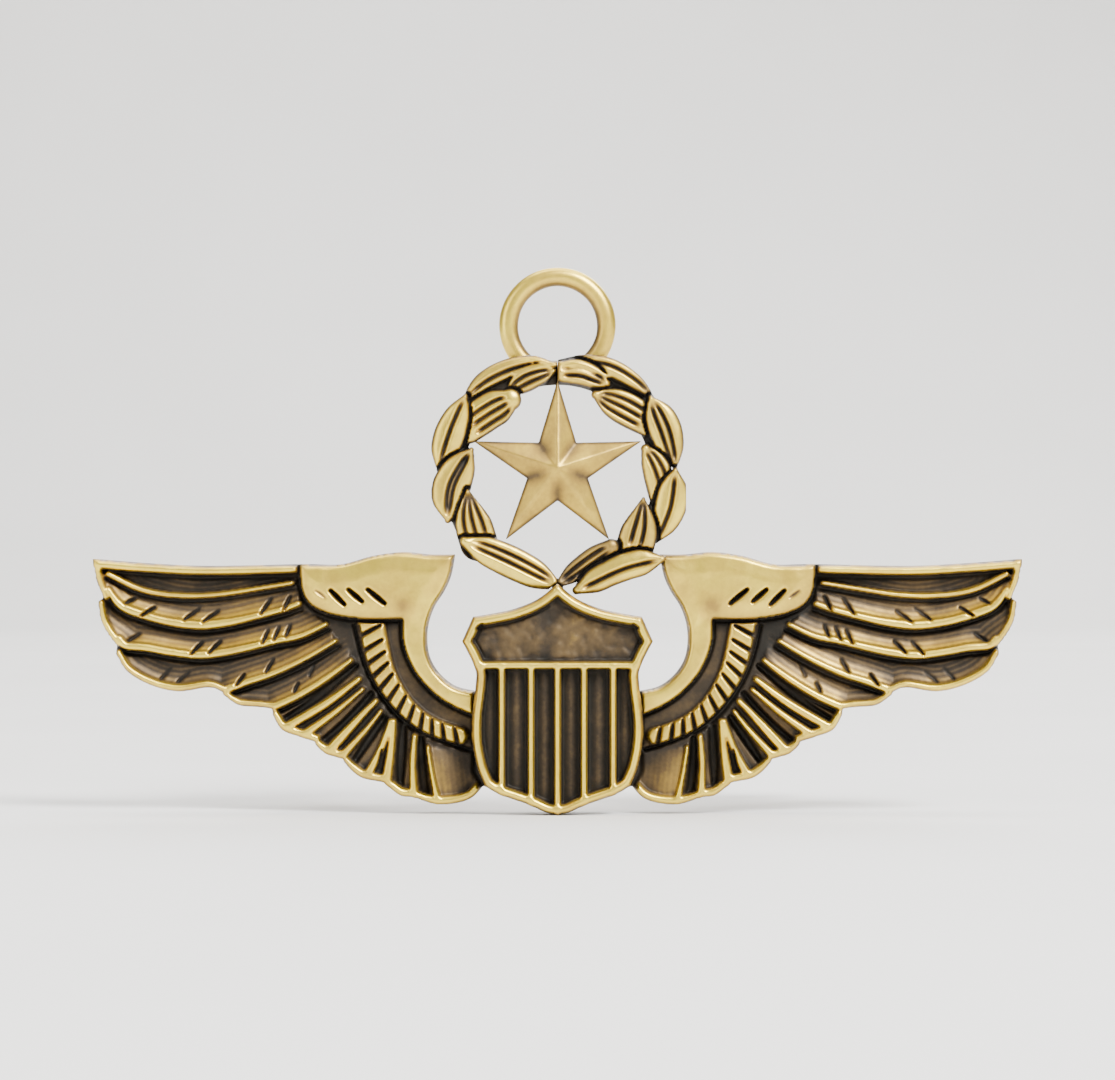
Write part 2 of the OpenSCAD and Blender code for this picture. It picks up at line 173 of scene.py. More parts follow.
class Relief:
    def __init__(self, low, high, step=STEP):
        self.step = step
        self.x, self.z = np.meshgrid(np.arange(low[0], high[0] + step, step),
                                     np.arange(low[1], high[1] + step, step), indexing="ij")
        self.h = np.zeros(self.x.shape)
        self.wear_and_painted_light = np.zeros(self.x.shape)
        self.edge = np.full(self.x.shape, 1e3)
        self.sunk = np.zeros(self.x.shape)

    def window(self, points, margin):
        p = np.asarray(points, float)
        keep = []
        for values, column in ((self.x[:, 0], 0), (self.z[0], 1)):
            low = np.searchsorted(values, p[:, column].min() - margin)
            high = np.searchsorted(values, p[:, column].max() + margin)
            keep.append(slice(max(low - 1, 0), high + 1))
        return tuple(keep)

    def lay(self, w, d, height, wear_and_painted_light):
        """Lays a surface in a window, where d is negative and a little past that."""
        on = d < SPREAD * self.step
        self.h[w] = np.where(on, height, self.h[w])
        self.wear_and_painted_light[w] = np.where(on, wear_and_painted_light, self.wear_and_painted_light[w])

    def within(self, outline, margin=0.3):
        """The window round an outline, and the signed distance to it there."""
        w = self.window(outline, margin)
        return w, outline_distance(outline, self.x[w], self.z[w])

    def plate(self, outline, height, wear_and_painted_light):
        """Adds to the silhouette and lays a level surface there."""
        w, d = self.within(outline, 1.0)
        self.edge[w] = np.minimum(self.edge[w], d)
        self.lay(w, d, height, wear_and_painted_light)

    def level(self, outline, height, wear_and_painted_light, edge):
        """A surface with a border rounded over the width edge, on top of what is there."""
        w, d = self.within(outline)
        self.lay(w, d, height - drop(-d, edge), wear_and_painted_light)

    def slope(self, outline, toward, low, high, reach, wear_and_painted_light, lined=1.0):
        """A finely lined surface that rises from low to high as it nears a path."""
        w, inside = self.within(outline)
        on = inside < 0
        d, _, _ = path_distance(toward, self.x[w], self.z[w])
        rise = bell(d, reach)
        lines = lined * np.sin(d * 2 * math.pi / VANE_LINE)
        self.h[w] = np.where(on, low + (high - low) * rise + 0.012 * lines, self.h[w])
        self.wear_and_painted_light[w] = np.where(on, wear_and_painted_light * (0.42 + 0.58 * rise + 0.26 * lines), self.wear_and_painted_light[w])

    def strip(self, path, widths, flat):
        """The window round a path, where the strip along it is, and how far down its rounded side."""
        w = self.window(path, max(widths))
        d, along, _ = path_distance(path, self.x[w], self.z[w])
        half = width_at(widths, along) / 2
        return w, d < half, np.clip((d / half - flat) / (1 - flat), 0, 1)

    def bar(self, path, widths, height, wear_and_painted_light=1.0, flat=0.35):
        """A raised bar with rounded sides, as wide as widths along its length."""
        w, on, side = self.strip(path, widths, flat)
        top = np.sqrt(1 - side * side)
        on &= top > 0
        self.h[w] += np.where(on, np.maximum(height - self.h[w], 0) * top, 0)
        shine = wear_and_painted_light * smooth(0.25, 0.75, top)
        self.wear_and_painted_light[w] = np.where(on, np.maximum(self.wear_and_painted_light[w], shine), self.wear_and_painted_light[w])

    def groove(self, path, widths, bottom, wear_and_painted_light=0.0, flat=0.2):
        """A cut with rounded sides."""
        w, on, side = self.strip(path, widths, flat)
        depth = np.where(on, 1 - smooth(0, 1, side), 0)
        self.h[w] -= np.maximum(self.h[w] - bottom, 0) * depth
        self.wear_and_painted_light[w] += (wear_and_painted_light - self.wear_and_painted_light[w]) * depth

    def leaf(self, path, widths, base, height, grooves=(0.0,), bright=0.95):
        """A domed leaf along a curved midrib, cut by grooves that run its length."""
        p = curve(path)
        w = self.window(p, max(widths))
        d, along, side = path_distance(p, self.x[w], self.z[w])
        half = width_at(widths, along) / 2
        gap = d - half
        self.edge[w] = np.minimum(self.edge[w], gap)
        shade = (gap > 0) & (gap < 0.16)
        self.h[w] = np.where(shade, np.minimum(self.h[w], base), self.h[w])
        self.wear_and_painted_light[w] = np.where(shade, 0.05, self.wear_and_painted_light[w])
        dome = np.sqrt(np.clip(1 - (d / half) ** 2, 0, 1))
        h = base + (height - base) * (0.5 + 0.5 * dome)
        wear_and_painted_light = bright * smooth(0.1, 0.45, dome)
        reach = smooth(0.02, 0.2, along) * (1 - smooth(0.82, 0.98, along))
        for v in grooves:
            cut = bell(side * d - v * half, 0.085) * reach
            h = h - (height - base) * 0.62 * cut
            wear_and_painted_light = wear_and_painted_light * (1 - 0.94 * cut)
        self.lay(w, gap, h, wear_and_painted_light)

    def worn_beside(self, path, reach, amount):
        """Wears the surface bright beside a path, fading over reach."""
        w = self.window(path, 3 * reach)
        d, along, _ = path_distance(path, self.x[w], self.z[w])
        fade = bell(d, reach) * smooth(0.0, 0.12, along) * smooth(1.0, 0.75, along)
        self.wear_and_painted_light[w] += amount * fade

    def crown(self, outline, rise, reach):
        """Swells a surface gently towards its middle."""
        w, d = self.within(outline)
        self.h[w] += np.where(d < 0, rise * smooth(0, reach, -d), 0)

    def soften(self, sigma=0.6):
        """Takes the grid's hardness off, and carries the surface a little past the silhouette."""
        inside = (self.edge < 0).astype(float)
        weight = blur(inside, sigma)
        near = weight > 1e-4
        for field in (self.h, self.wear_and_painted_light):
            field[:] = np.where(near, blur(field * inside, sigma) / np.maximum(weight, 1e-4), field)

    def texture(self, amount, size, seed):
        """Unevenness of a casting: soft random lumps, size mm across."""
        noise = blur(np.random.default_rng(seed).standard_normal(self.h.shape), size / self.step / 2)
        self.h += noise * (amount / noise.std())


def blur(field, sigma):
    """Gaussian blur along both axes."""
    reach = int(3 * sigma) + 1
    kernel = np.exp(-0.5 * (np.arange(-reach, reach + 1) / sigma) ** 2)
    kernel /= kernel.sum()
    for axis in (0, 1):
        pad = [(reach, reach) if a == axis else (0, 0) for a in (0, 1)]
        padded = np.pad(field, pad, mode="edge")
        field = sum(k * np.take(padded, np.arange(field.shape[axis]) + i, axis=axis)
                    for i, k in enumerate(kernel))
    return field


def add_object(name, data):
    added = bpy.data.objects.new(name, data)
    bpy.context.collection.objects.link(added)
    return added


def set_wear_and_painted_light(mesh, domain, values):
    mesh.attributes.new("wear_and_painted_light", "FLOAT", domain).data.foreach_set("value", values)


def relief_piece(name, relief, back, round_over, mirrored):
    """Closed mesh of a relief: its front, rounded over at the silhouette, a wall and a flat back."""
    step, edge = relief.step, relief.edge
    gx, gz = np.gradient(edge, step)
    size = np.hypot(gx, gz) + 1e-9
    gx, gz = gx / size, gz / size
    inner = edge < -0.3 * step
    near = inner.copy()
    for i in (-1, 0, 1):
        for j in (-1, 0, 1):
            near |= np.roll(np.roll(inner, i, 0), j, 1)
    rim = near & ~inner
    x = np.where(rim, relief.x - edge * gx, relief.x)
    z = np.where(rim, relief.z - edge * gz, relief.z)
    depth = np.where(rim, 0, np.clip(-edge, 0, None))
    h = relief.h - drop(depth, round_over)
    cavity = smooth(0.03, 0.24, blur(relief.h, 0.28 / step) - relief.h)
    dulled = 1 - 0.42 * smooth(0.2, 0.0, depth)
    wear_and_painted_light = np.clip(relief.wear_and_painted_light * (1 - 0.8 * cavity) * dulled, 0, 1)

    index = np.full(edge.shape, -1)
    index[near] = np.arange(near.sum())
    quad = inner[:-1, :-1] | inner[1:, :-1] | inner[1:, 1:] | inner[:-1, 1:]
    faces = np.stack([index[:-1, :-1][quad], index[1:, :-1][quad],
                      index[1:, 1:][quad], index[:-1, 1:][quad]], 1)
    used = np.unique(faces)
    remap = np.full(near.sum(), -1)
    remap[used] = np.arange(len(used))
    faces = remap[faces]
    front = np.stack([x[near], -h[near], z[near]], 1)[used]
    front_wear_and_painted_light = wear_and_painted_light[near][used]
    on_rim = rim[near][used]

    edges = np.stack([faces, np.roll(faces, -1, axis=1)], -1).reshape(-1, 2)
    pairs = {tuple(e) for e in edges.tolist()}
    count = len(front)
    rear = front.copy()
    rear[:, 1] = -back - np.where(on_rim, 0.05, relief.sunk[near][used])
    points = np.vstack([front, rear])
    all_faces = faces.tolist() + (faces[:, ::-1] + count).tolist()
    all_faces += [[b, a, count + a, count + b] for a, b in sorted(pairs) if (b, a) not in pairs]

    scaled = points * MM * K
    scaled[:, 1] = points[:, 1] * MM
    if mirrored:
        scaled[:, 0] *= -1
        all_faces = [face[::-1] for face in all_faces]
    mesh = bpy.data.meshes.new(name)
    mesh.from_pydata(scaled.tolist(), [], all_faces)
    corners = np.array(all_faces)
    worn_and_painted_light = np.concatenate([front_wear_and_painted_light, 0.5 - 1.2 * relief.sunk[near][used]])[corners]
    worn_and_painted_light[2 * len(faces):] = WALL_WEAR
    set_wear_and_painted_light(mesh, "CORNER", worn_and_painted_light.ravel())
    mesh.polygons.foreach_set("use_smooth", [True] * len(mesh.polygons))
    mesh.validate()
    return add_object(name, mesh)


def finish_piece(piece, body, metal, node):
    """Gives a piece its metal's material and the body it rides, and hides the node it stands for."""
    slot, material = metal
    piece.data.materials.append(material)
    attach(piece, body)
    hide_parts(node)


def cast(name, relief, node, back=0.0, round_over=0.16, mirrored=False):
    """A brass casting on the root, made of a relief."""
    finish_piece(relief_piece(name, relief, back, round_over, mirrored), "root", BRASS, node)


# ---------- materials ----------

class Look:
    """A material and the nodes that make it."""

    def __init__(self, name):
        self.material = bpy.data.materials.new(name)
        self.material.use_nodes = True
        tree = self.material.node_tree
        self.new, self.link = tree.nodes.new, tree.links.new
        self.shader = tree.nodes["Principled BSDF"].inputs
        self.coords = self.new("ShaderNodeTexCoord").outputs["Object"]

    def feed(self, socket, value):
        """Sets a socket to a number, or links it to an output."""
        if isinstance(value, (int, float)):
            socket.default_value = value
        else:
            self.link(value, socket)

    def noise(self, scale, detail, stretch=None):
        noise = self.new("ShaderNodeTexNoise")
        noise.inputs["Scale"].default_value = scale
        noise.inputs["Detail"].default_value = detail
        source = self.coords
        if stretch:
            mapping = self.new("ShaderNodeMapping")
            mapping.inputs["Scale"].default_value = stretch
            self.link(source, mapping.inputs["Vector"])
            source = mapping.outputs["Vector"]
        self.link(source, noise.inputs["Vector"])
        return noise.outputs["Fac"]

    def math(self, operation, *values, clamp=False):
        node = self.new("ShaderNodeMath")
        node.operation = operation
        node.use_clamp = clamp
        for socket, value in zip(node.inputs, values):
            self.feed(socket, value)
        return node.outputs[0]

    def colour(self, factor, stops):
        ramp = self.new("ShaderNodeValToRGB")
        elements = ramp.color_ramp.elements
        while len(elements) < len(stops):
            elements.new(0.5)
        for element, (position, colour) in zip(elements, stops):
            element.position = position
            element.color = (*colour, 1)
        self.link(factor, ramp.inputs["Fac"])
        self.link(ramp.outputs["Color"], self.shader["Base Color"])

    def bump(self, height, strength, distance):
        bump = self.new("ShaderNodeBump")
        bump.inputs["Strength"].default_value = strength
        bump.inputs["Distance"].default_value = distance
        self.link(height, bump.inputs["Height"])
        self.link(bump.outputs["Normal"], self.shader["Normal"])


def antique_brass():
    """Brass, a dark finish in hollows and rubbed bright on high parts, plus painted highlight and shade."""
    look = Look("antique_brass")
    wear_and_painted_light = look.new("ShaderNodeAttribute")
    wear_and_painted_light.attribute_name = "wear_and_painted_light"
    blotch, grain = look.noise(460, 5), look.noise(4200, 3)
    scratch = look.noise(1500, 2, (1, 1, 0.12))
    uneven = look.math("MULTIPLY_ADD", blotch, 0.5, -0.27)
    speckle = look.math("MULTIPLY_ADD", grain, 0.16, -0.08)
    worn_and_painted_light = look.math("ADD", look.math("ADD", wear_and_painted_light.outputs["Fac"], uneven), speckle, clamp=True)
    look.colour(worn_and_painted_light, [
        (0.0, (0.010, 0.008, 0.005)), (0.16, (0.032, 0.023, 0.014)), (0.38, (0.115, 0.076, 0.034)),
        (0.62, (0.36, 0.23, 0.050)), (0.85, (0.68, 0.475, 0.068)), (1.0, (0.88, 0.665, 0.085))])
    look.feed(look.shader["Metallic"], look.math("MULTIPLY_ADD", worn_and_painted_light, 0.4, 0.6))
    rough = look.math("MULTIPLY_ADD", worn_and_painted_light, -0.26, 0.56)
    rough = look.math("ADD", rough, look.math("MULTIPLY", scratch, 0.1), clamp=True)
    look.feed(look.shader["Roughness"], rough)
    look.bump(look.math("ADD", grain, scratch), 0.25, 0.00003)
    return look.material


def plain_metal(name, dark, light, roughness):
    """Stamped or drawn metal: satin, with faint handling marks and a little tarnish."""
    look = Look(name)
    blotch, grain = look.noise(600, 4), look.noise(5200, 3)
    brushed = look.noise(2600, 2, (0.08, 1, 1))
    mixed = look.math("ADD", look.math("MULTIPLY", blotch, 0.7), look.math("MULTIPLY", brushed, 0.3))
    look.colour(mixed, [(0.34, dark), (0.62, light)])
    look.feed(look.shader["Metallic"], 1.0)
    look.feed(look.shader["Roughness"], look.math("MULTIPLY_ADD", brushed, 0.18, roughness - 0.09))
    look.bump(look.math("ADD", grain, brushed), 0.3, 0.00002)
    return look.material


def stage_material():
    look = Look("stage")
    look.colour(look.noise(30, 2), [(0.3, (0.74, 0.73, 0.71)), (0.7, (0.77, 0.76, 0.74))])
    look.feed(look.shader["Roughness"], 0.8)
    return look.material


# Each metal is its slot and its material
BRASS = "antique_brass", antique_brass()
CLUTCH = "clutch_brass", plain_metal("clutch_brass", (0.52, 0.35, 0.10), (0.74, 0.54, 0.20), 0.32)
POST = "post_metal", plain_metal("post_metal", (0.44, 0.39, 0.30), (0.62, 0.57, 0.47), 0.3)


# ---------- wings, drawn for +X ----------

TOP_EDGE = [[5.15, 5.05], [6.4, 5.05], [7.8, 5.17], [9.3, 4.97], [10.9, 4.55], [12.9, 4.56], [17.5, 4.47],
            [20.5, 4.6], [23.27, 4.82]]
TIP_1 = [[23.27, 4.82], [23.15, 3.9], [22.8, 2.84]]
TIP_2 = [[23.05, 2.65], [22.85, 1.6], [22.15, 0.5]]
TIP_3 = [[22.15, 0.1], [21.6, -0.8], [20.4, -1.5], [19.0, -1.82], [17.5, -1.62], [16.8, -1.86]]
TIP_4 = [[16.75, -2.0], [16.0, -2.5], [15.0, -2.6], [14.3, -2.68]]
TIP_5 = [[14.3, -3.0], [13.8, -3.75], [12.9, -4.1], [12.15, -4.35]]
TIP_6 = [[12.15, -4.5], [11.6, -4.95], [10.75, -5.2]]
TIP_7 = [[10.7, -5.4], [9.9, -6.1], [8.7, -6.38]]
TIP_8 = [[8.6, -6.5], [7.9, -7.02], [7.35, -7.1]]
TIP_9 = [[7.3, -7.1], [6.15, -7.46], [5.1, -7.42], [4.3, -7.15], [3.75, -6.6]]
ROOT = [[3.75, -6.6], [3.3, -6.2], [3.3, -2.1], [4.15, -1.83]]
BAND_IN = [[4.15, -1.83], [5.1, -1.6], [5.85, -1.05], [6.36, -0.3], [6.55, 0.55], [6.5, 1.5], [6.2, 2.4],
           [5.7, 3.2], [5.35, 4.0], [5.15, 5.05]]
FEATHER_1 = [[22.5, 3.3], [21.9, 2.5], [20.8, 2.03], [19.4, 1.66], [17.85, 1.5], [16.4, 1.66], [15.1, 1.95],
             [13.8, 2.28], [12.95, 2.58]]
FEATHER_2 = [[21.95, 0.8], [21.6, 0.47], [20.6, 0.38], [19.4, 0.16], [18.0, 0.0], [16.8, 0.12], [15.5, 0.38],
             [14.2, 0.7], [12.9, 0.95], [11.6, 1.55]]
FEATHER_3 = [[16.6, -1.72], [15.5, -1.33], [14.4, -0.98], [13.2, -0.46], [12.1, 0.12], [11.1, 0.72]]
FEATHER_4 = [[14.25, -2.6], [13.1, -2.08], [12.1, -1.5], [11.1, -0.82], [10.35, -0.25]]
QUILL = [[22.5, 4.08], [21.1, 3.38], [19.8, 3.07], [18.3, 2.98], [16.8, 3.07], [15.1, 3.33], [13.3, 3.62]]
BAND_OUT = [[4.25, -3.02], [5.2, -2.6], [6.05, -2.06], [6.87, -1.24], [7.4, -0.4], [7.75, 0.64], [7.8, 1.7]]
SHOULDER_LOW = [[12.95, 4.45], [12.85, 3.3], [12.4, 2.52], [11.5, 2.06], [10.4, 1.84], [9.2, 1.74],
                [7.8, 1.78]]
ROPE = [[9.35, 1.55], [9.15, 0.43], [8.85, -0.61], [8.35, -1.6], [7.65, -2.55], [6.8, -3.3], [5.9, -3.75],
        [4.9, -4.05]]
ROPE_WIDTHS = [1.5, 1.45, 1.2, 1.0, 0.95, 0.9]
ROPE_SLITS = 12
ROPE_BORDER = [[10.2, 1.5], [9.95, 0.4], [9.6, -0.65], [9.1, -1.65], [8.35, -2.7], [7.5, -3.5], [6.5, -3.95],
               [5.2, -4.5], [4.4, -4.75]]
# Bright ridges of the fanned short feathers, each with its widths from tip to root
RIDGES = [
    ([[13.45, -3.5], [11.6, -2.42], [9.95, -1.2]], [0.5, 0.5, 0.42, 0.3]),
    ([[12.75, -4.0], [11.2, -2.9], [9.75, -1.7]], [0.5, 0.4, 0.3, 0.2]),
    ([[11.45, -4.8], [9.95, -3.15], [9.1, -2.3]], [0.55, 0.52, 0.42, 0.3]),
    ([[10.85, -5.1], [9.6, -3.75], [8.85, -2.8]], [0.5, 0.36, 0.28, 0.2]),
    ([[9.6, -6.15], [8.85, -4.7], [8.35, -3.3]], [0.55, 0.42, 0.36, 0.3]),
    ([[8.6, -6.45], [8.35, -4.8], [8.2, -3.3]], [0.6, 0.5, 0.4, 0.3]),
    ([[7.2, -7.0], [7.25, -5.4], [7.15, -4.05]], [0.5, 0.38, 0.36, 0.32]),
    ([[6.0, -7.3], [6.3, -5.9], [6.5, -4.6]], [0.4, 0.28, 0.24, 0.2])]
# Dark channels between them
CHANNELS = [
    ([[13.6, -3.2], [12.0, -2.1], [10.1, -0.55]], [0.42, 0.5, 0.3]),
    ([[11.75, -4.3], [10.5, -3.25], [9.35, -1.95]], [0.36, 0.5, 0.36]),
    ([[10.2, -5.35], [9.5, -4.3], [8.7, -3.15]], [0.36, 0.5, 0.36]),
    ([[7.9, -6.6], [7.85, -5.2], [7.75, -3.6]], [0.4, 0.62, 0.45]),
    ([[6.65, -6.95], [6.8, -5.6], [6.85, -4.2]], [0.55, 0.55, 0.4])]
# Slits across the edges of the long feathers: upper end and lower end
BARBS = [
    [[21.2, 2.85], [21.65, 2.6]], [[20.2, 2.4], [20.85, 1.98]], [[17.95, 2.35], [18.7, 1.78]],
    [[17.0, 2.22], [17.75, 1.68]], [[14.35, 2.85], [14.85, 2.08]], [[13.4, 2.95], [13.7, 2.28]],
    [[20.95, 1.08], [21.5, 0.72]], [[17.8, 0.66], [18.35, 0.06]], [[16.9, 0.7], [17.45, 0.12]],
    [[14.5, 1.25], [14.78, 0.6]], [[13.95, 1.42], [14.2, 0.78]], [[13.4, 1.5], [13.6, 0.95]],
    [[19.4, -0.66], [19.9, -1.2]], [[18.45, -0.82], [19.05, -1.35]], [[15.7, -0.98], [16.08, -1.5]],
    [[14.25, -0.22], [14.6, -0.85]], [[12.2, -0.45], [12.45, -1.05]], [[13.0, -1.4], [13.2, -1.85]]]
# Slits in the shoulder
CUTS = [[[9.5, 3.3], [8.65, 2.6]], [[10.47, 3.3], [9.78, 2.7]], [[11.36, 3.25], [10.66, 2.55]]]

# Heights in front of the back plane
VANE, GROUND, EDGE_H, RIM_H = 1.3, 0.98, 1.76, 1.9
SHOULDER_H, BAND_H, ROPE_H = 1.94, 1.86, 1.66
BACK_HOLLOW = 0.14              # the back is sunk this much inside a flat border and round the post
# Darker spots on the shoulder: x, z, reach and amount
STAINS = [(7.75, 2.45, 0.5, 0.3), (6.3, 3.3, 0.45, 0.1), (5.5, 4.7, 0.3, 0.16)]
POST_AT = measured("right_post")[0] / K


def wing_relief():
    r = Relief((3.3, -7.9), (23.7, 5.6))
    outline = runs(TOP_EDGE, TIP_1, TIP_2, TIP_3, TIP_4, TIP_5, TIP_6, TIP_7, TIP_8, TIP_9, ROOT, BAND_IN)
    r.plate(outline, VANE - 0.12, 0.13)

    # Vanes, from the last to the first, each rising to its own lower edge and tucked under the one above
    top = [[12.9, 4.5], [18, 4.45], [23.2, 4.7]]
    last_edge = [[12.0, -4.3], [10.6, -3.0], [9.6, -1.6]]
    tips = [[[14.2, -2.7], [13.0, -4.0]], [[16.7, -2.0], [15.3, -2.5]],
            [[22.1, 0.0], [21.0, -1.2], [19.0, -1.75], [17.5, -1.6]], [[23.0, 2.5], [22.5, 1.0]]]
    lower = [FEATHER_4, FEATHER_3 + [[10.6, 1.0]], FEATHER_2, FEATHER_1]
    below = [last_edge, FEATHER_4, FEATHER_3, FEATHER_2]
    toward = [last_edge, TIP_4 + FEATHER_4, TIP_3 + FEATHER_3, [[22.9, 1.5]] + FEATHER_2]
    areas = [np.vstack([curve(above)[::-1], curve(tip), curve(edge)])
             for above, tip, edge in zip(lower, tips, below)]
    areas.append(runs(top, [[23.1, 3.6], [22.7, 2.9]], FEATHER_1))
    toward.append([[23.1, 4.0]] + FEATHER_1)
    for area, rise_to in zip(areas, toward):
        r.slope(area, curve(rise_to), GROUND + 0.12, VANE + 0.26, 0.55, 0.44)
    fan = np.vstack([curve(FEATHER_4), [[9.6, 0.0], [8.2, -3.0], [4.0, -4.4], [3.4, -7.0]],
                     *[curve(tip)[::-1] for tip in (TIP_9, TIP_8, TIP_7, TIP_6, TIP_5)]])
    r.level(fan, VANE - 0.08, 0.3, 0.05)
    panel = [[6.5, -4.6], [6.02, -7.2], [4.9, -7.2], [4.1, -6.7], [4.3, -4.9]]
    r.slope(panel, [[5.9, -7.2], [6.2, -4.6]], GROUND + 0.12, VANE + 0.1, 1.3, 0.5, 0.25)

    # The fan sinks and darkens towards the coverts
    root = bell(path_distance(curve(ROPE_BORDER), r.x, r.z)[0], 0.75)
    r.h += (VANE - 0.12 - r.h) * root
    r.wear_and_painted_light *= 1 - 0.7 * root
    r.worn_beside(inset(QUILL, 0.1), 0.45, 0.2)

    # Dark lines under the long feathers' edges and the leading edge
    for edge, widths in ((FEATHER_1, [0.3, 0.34, 0.34, 0.3, 0.22]), (FEATHER_2, [0.3, 0.34, 0.3, 0.2]),
                         (FEATHER_3, [0.22, 0.26, 0.2]), (FEATHER_4, [0.26, 0.3, 0.24])):
        r.groove(inset(edge, 0.34), widths, GROUND - 0.06)
    r.groove(inset(TOP_EDGE[5:], -0.58), [0.26, 0.32, 0.32, 0.2], GROUND + 0.04, 0.08)
    r.groove(inset(QUILL, 0.28), [0.2, 0.24, 0.2], GROUND + 0.05)
    for path, widths in CHANNELS:
        r.groove(curve(path), widths, GROUND - 0.12, 0.02, 0.45)

    for edge, amount in ((FEATHER_1, 0.42), (FEATHER_2, 0.42), (FEATHER_3, 0.25), (FEATHER_4, 0.25),
                         (TIP_3, 0.3)):
        r.worn_beside(inset(edge, -0.22), 0.36, amount)
    # Bright edges: the quill, the outline's and the long feathers'
    r.bar(curve(QUILL), [0.34, 0.34, 0.3, 0.26], EDGE_H - 0.1, 0.9)
    for edge, inward, widths, height in (
            (TOP_EDGE[5:], -0.24, [0.42, 0.48, 0.48, 0.44], RIM_H),
            (TIP_1, -0.2, [0.42, 0.34, 0.3], RIM_H - 0.04),
            (TIP_2, -0.19, [0.3, 0.36, 0.34], EDGE_H),
            (TIP_3, -0.18, [0.3, 0.38, 0.4, 0.36, 0.34], EDGE_H),
            (TIP_4, -0.16, [0.3, 0.34, 0.32], EDGE_H - 0.04)):
        r.bar(inset(edge, inward), widths, height)
    for tip in (TIP_5, TIP_6, TIP_7, TIP_8, TIP_9):
        r.bar(inset(tip, -0.2), [0.32, 0.46, 0.46, 0.42], EDGE_H - 0.04)
    for edge, widths, height in (
            (FEATHER_1, [0.3, 0.5, 0.46, 0.5, 0.5, 0.42, 0.34, 0.3], EDGE_H),
            (FEATHER_2, [0.42, 0.46, 0.44, 0.46, 0.4, 0.32, 0.24], EDGE_H),
            (FEATHER_3, [0.42, 0.34, 0.28, 0.2], EDGE_H - 0.06),
            (FEATHER_4, [0.42, 0.38, 0.34, 0.24], EDGE_H - 0.02)):
        r.bar(curve(edge), widths, height)
    for path, widths in RIDGES:
        r.bar(curve(path), widths, EDGE_H - 0.02)
    r.groove([[8.98, -5.75], [8.8, -4.75]], [0.16, 0.22, 0.14], VANE - 0.1)
    for slit in BARBS:
        r.groove(slit, [0.2, 0.24, 0.16], VANE - 0.22)

    # Brown hollow, row of small coverts, shoulder and curled band
    r.level(runs(ROPE_BORDER, BAND_OUT), VANE - 0.1, 0.24, 0.05)
    r.groove(curve(ROPE_BORDER), [0.2, 0.24, 0.34, 0.36, 0.3], GROUND - 0.12, 0.0, 0.3)
    rope = curve(ROPE)
    r.bar(rope, ROPE_WIDTHS, ROPE_H, 0.9, 0.55)
    places = np.linspace(0, 1, len(rope))
    for i in range(ROPE_SLITS):
        t = (i + 0.55) / ROPE_SLITS
        at, way = [np.array([np.interp(t, places, line[:, c]) for c in (0, 1)])
                   for line in (rope, tangents(rope))]
        lean = np.array([-way[1], way[0]]) * (0.46 - 0.14 * t) + way * 0.16
        r.groove([at - lean, at + lean * 1.2], [0.18, 0.27, 0.3], VANE - 0.1)
    r.groove(inset(ROPE, 0.66), [0.3, 0.26, 0.2], VANE - 0.08, 0.2)
    shoulder = np.vstack([curve(TOP_EDGE[:6]), curve(SHOULDER_LOW), curve(BAND_OUT)[::-1],
                          [[3.6, -3.1], [3.6, -1.9]], curve(BAND_IN)])
    r.groove(curve(SHOULDER_LOW), [0.3, 0.36, 0.36, 0.3], GROUND)
    r.groove(curve(BAND_OUT), [0.36, 0.34, 0.34, 0.3], GROUND)
    r.level(inset_outline(shoulder, 0.06), BAND_H, 0.95, 0.2)
    blade = np.vstack([curve(TOP_EDGE[:6]), curve(SHOULDER_LOW), [[7.0, 1.2]], curve(BAND_IN)[-30:]])
    r.crown(inset_outline(blade, 0.1), SHOULDER_H - BAND_H, 0.9)
    for slit in CUTS:
        r.groove(slit, [0.2, 0.3, 0.22], VANE)
    r.groove([[11.6, 2.88], [12.1, 3.24]], [0.1, 0.2, 0.14], SHOULDER_H - 0.14, 0.3)
    for x, z, reach, amount in STAINS:
        r.wear_and_painted_light -= amount * bell(np.hypot(r.x - x, (r.z - z) * 1.2), reach)
    # Darker towards the shoulder's lower edge
    r.wear_and_painted_light -= 0.2 * bell(path_distance(curve(SHOULDER_LOW), r.x, r.z)[0], 0.32)
    # Dark line where the wing meets the shield
    r.groove([[3.6, -6.9], [3.88, -6.3], [4.1, -5.8], [4.1, -1.5]], [0.6, 0.5, 0.4, 0.3], GROUND, 0.05)
    r.soften()
    r.texture(0.006, 0.5, 3)
    from_post = np.hypot(r.x - POST_AT, r.z)
    r.sunk = BACK_HOLLOW * smooth(0.35, 0.65, -r.edge) * smooth(1.85, 2.15, from_post)
    return r


WING = wing_relief()
for SIDE in ("left", "right"):
    cast(SIDE + "_wing_relief", WING, SIDE + "_wing", mirrored=SIDE == "left")


# ---------- shield ----------

SHIELD_HALF = [
    [[0, 3.6], [0.95, 2.84], [2.1, 2.35], [3.1, 2.12], [4.22, 1.93]],
    [[4.22, 1.93], [4.76, 0.72]],
    [[4.76, 0.72], [4.12, -0.6], [4.08, -1.43], [4.26, -3.0], [4.25, -4.3], [4.0, -5.6], [3.62, -6.5]],
    [[3.62, -6.5], [2.9, -6.92], [1.4, -7.45], [0.6, -7.82], [0, -7.93]]]
RIB_X = (0.0, 1.32, 2.78)
BAR_Z = -0.48
SHIELD_BACK, SHIELD_FIELD, SLOT_FLOOR, SHIELD_TOP = 1.36, 2.34, 2.16, 2.96
TAB_Z, TAB_H = 1.75, 1.06       # where the foot's thin tab up to the wreath starts, and its front


def both_sides(half):
    return np.vstack([half, half[::-1][1:-1] * [-1, 1]])


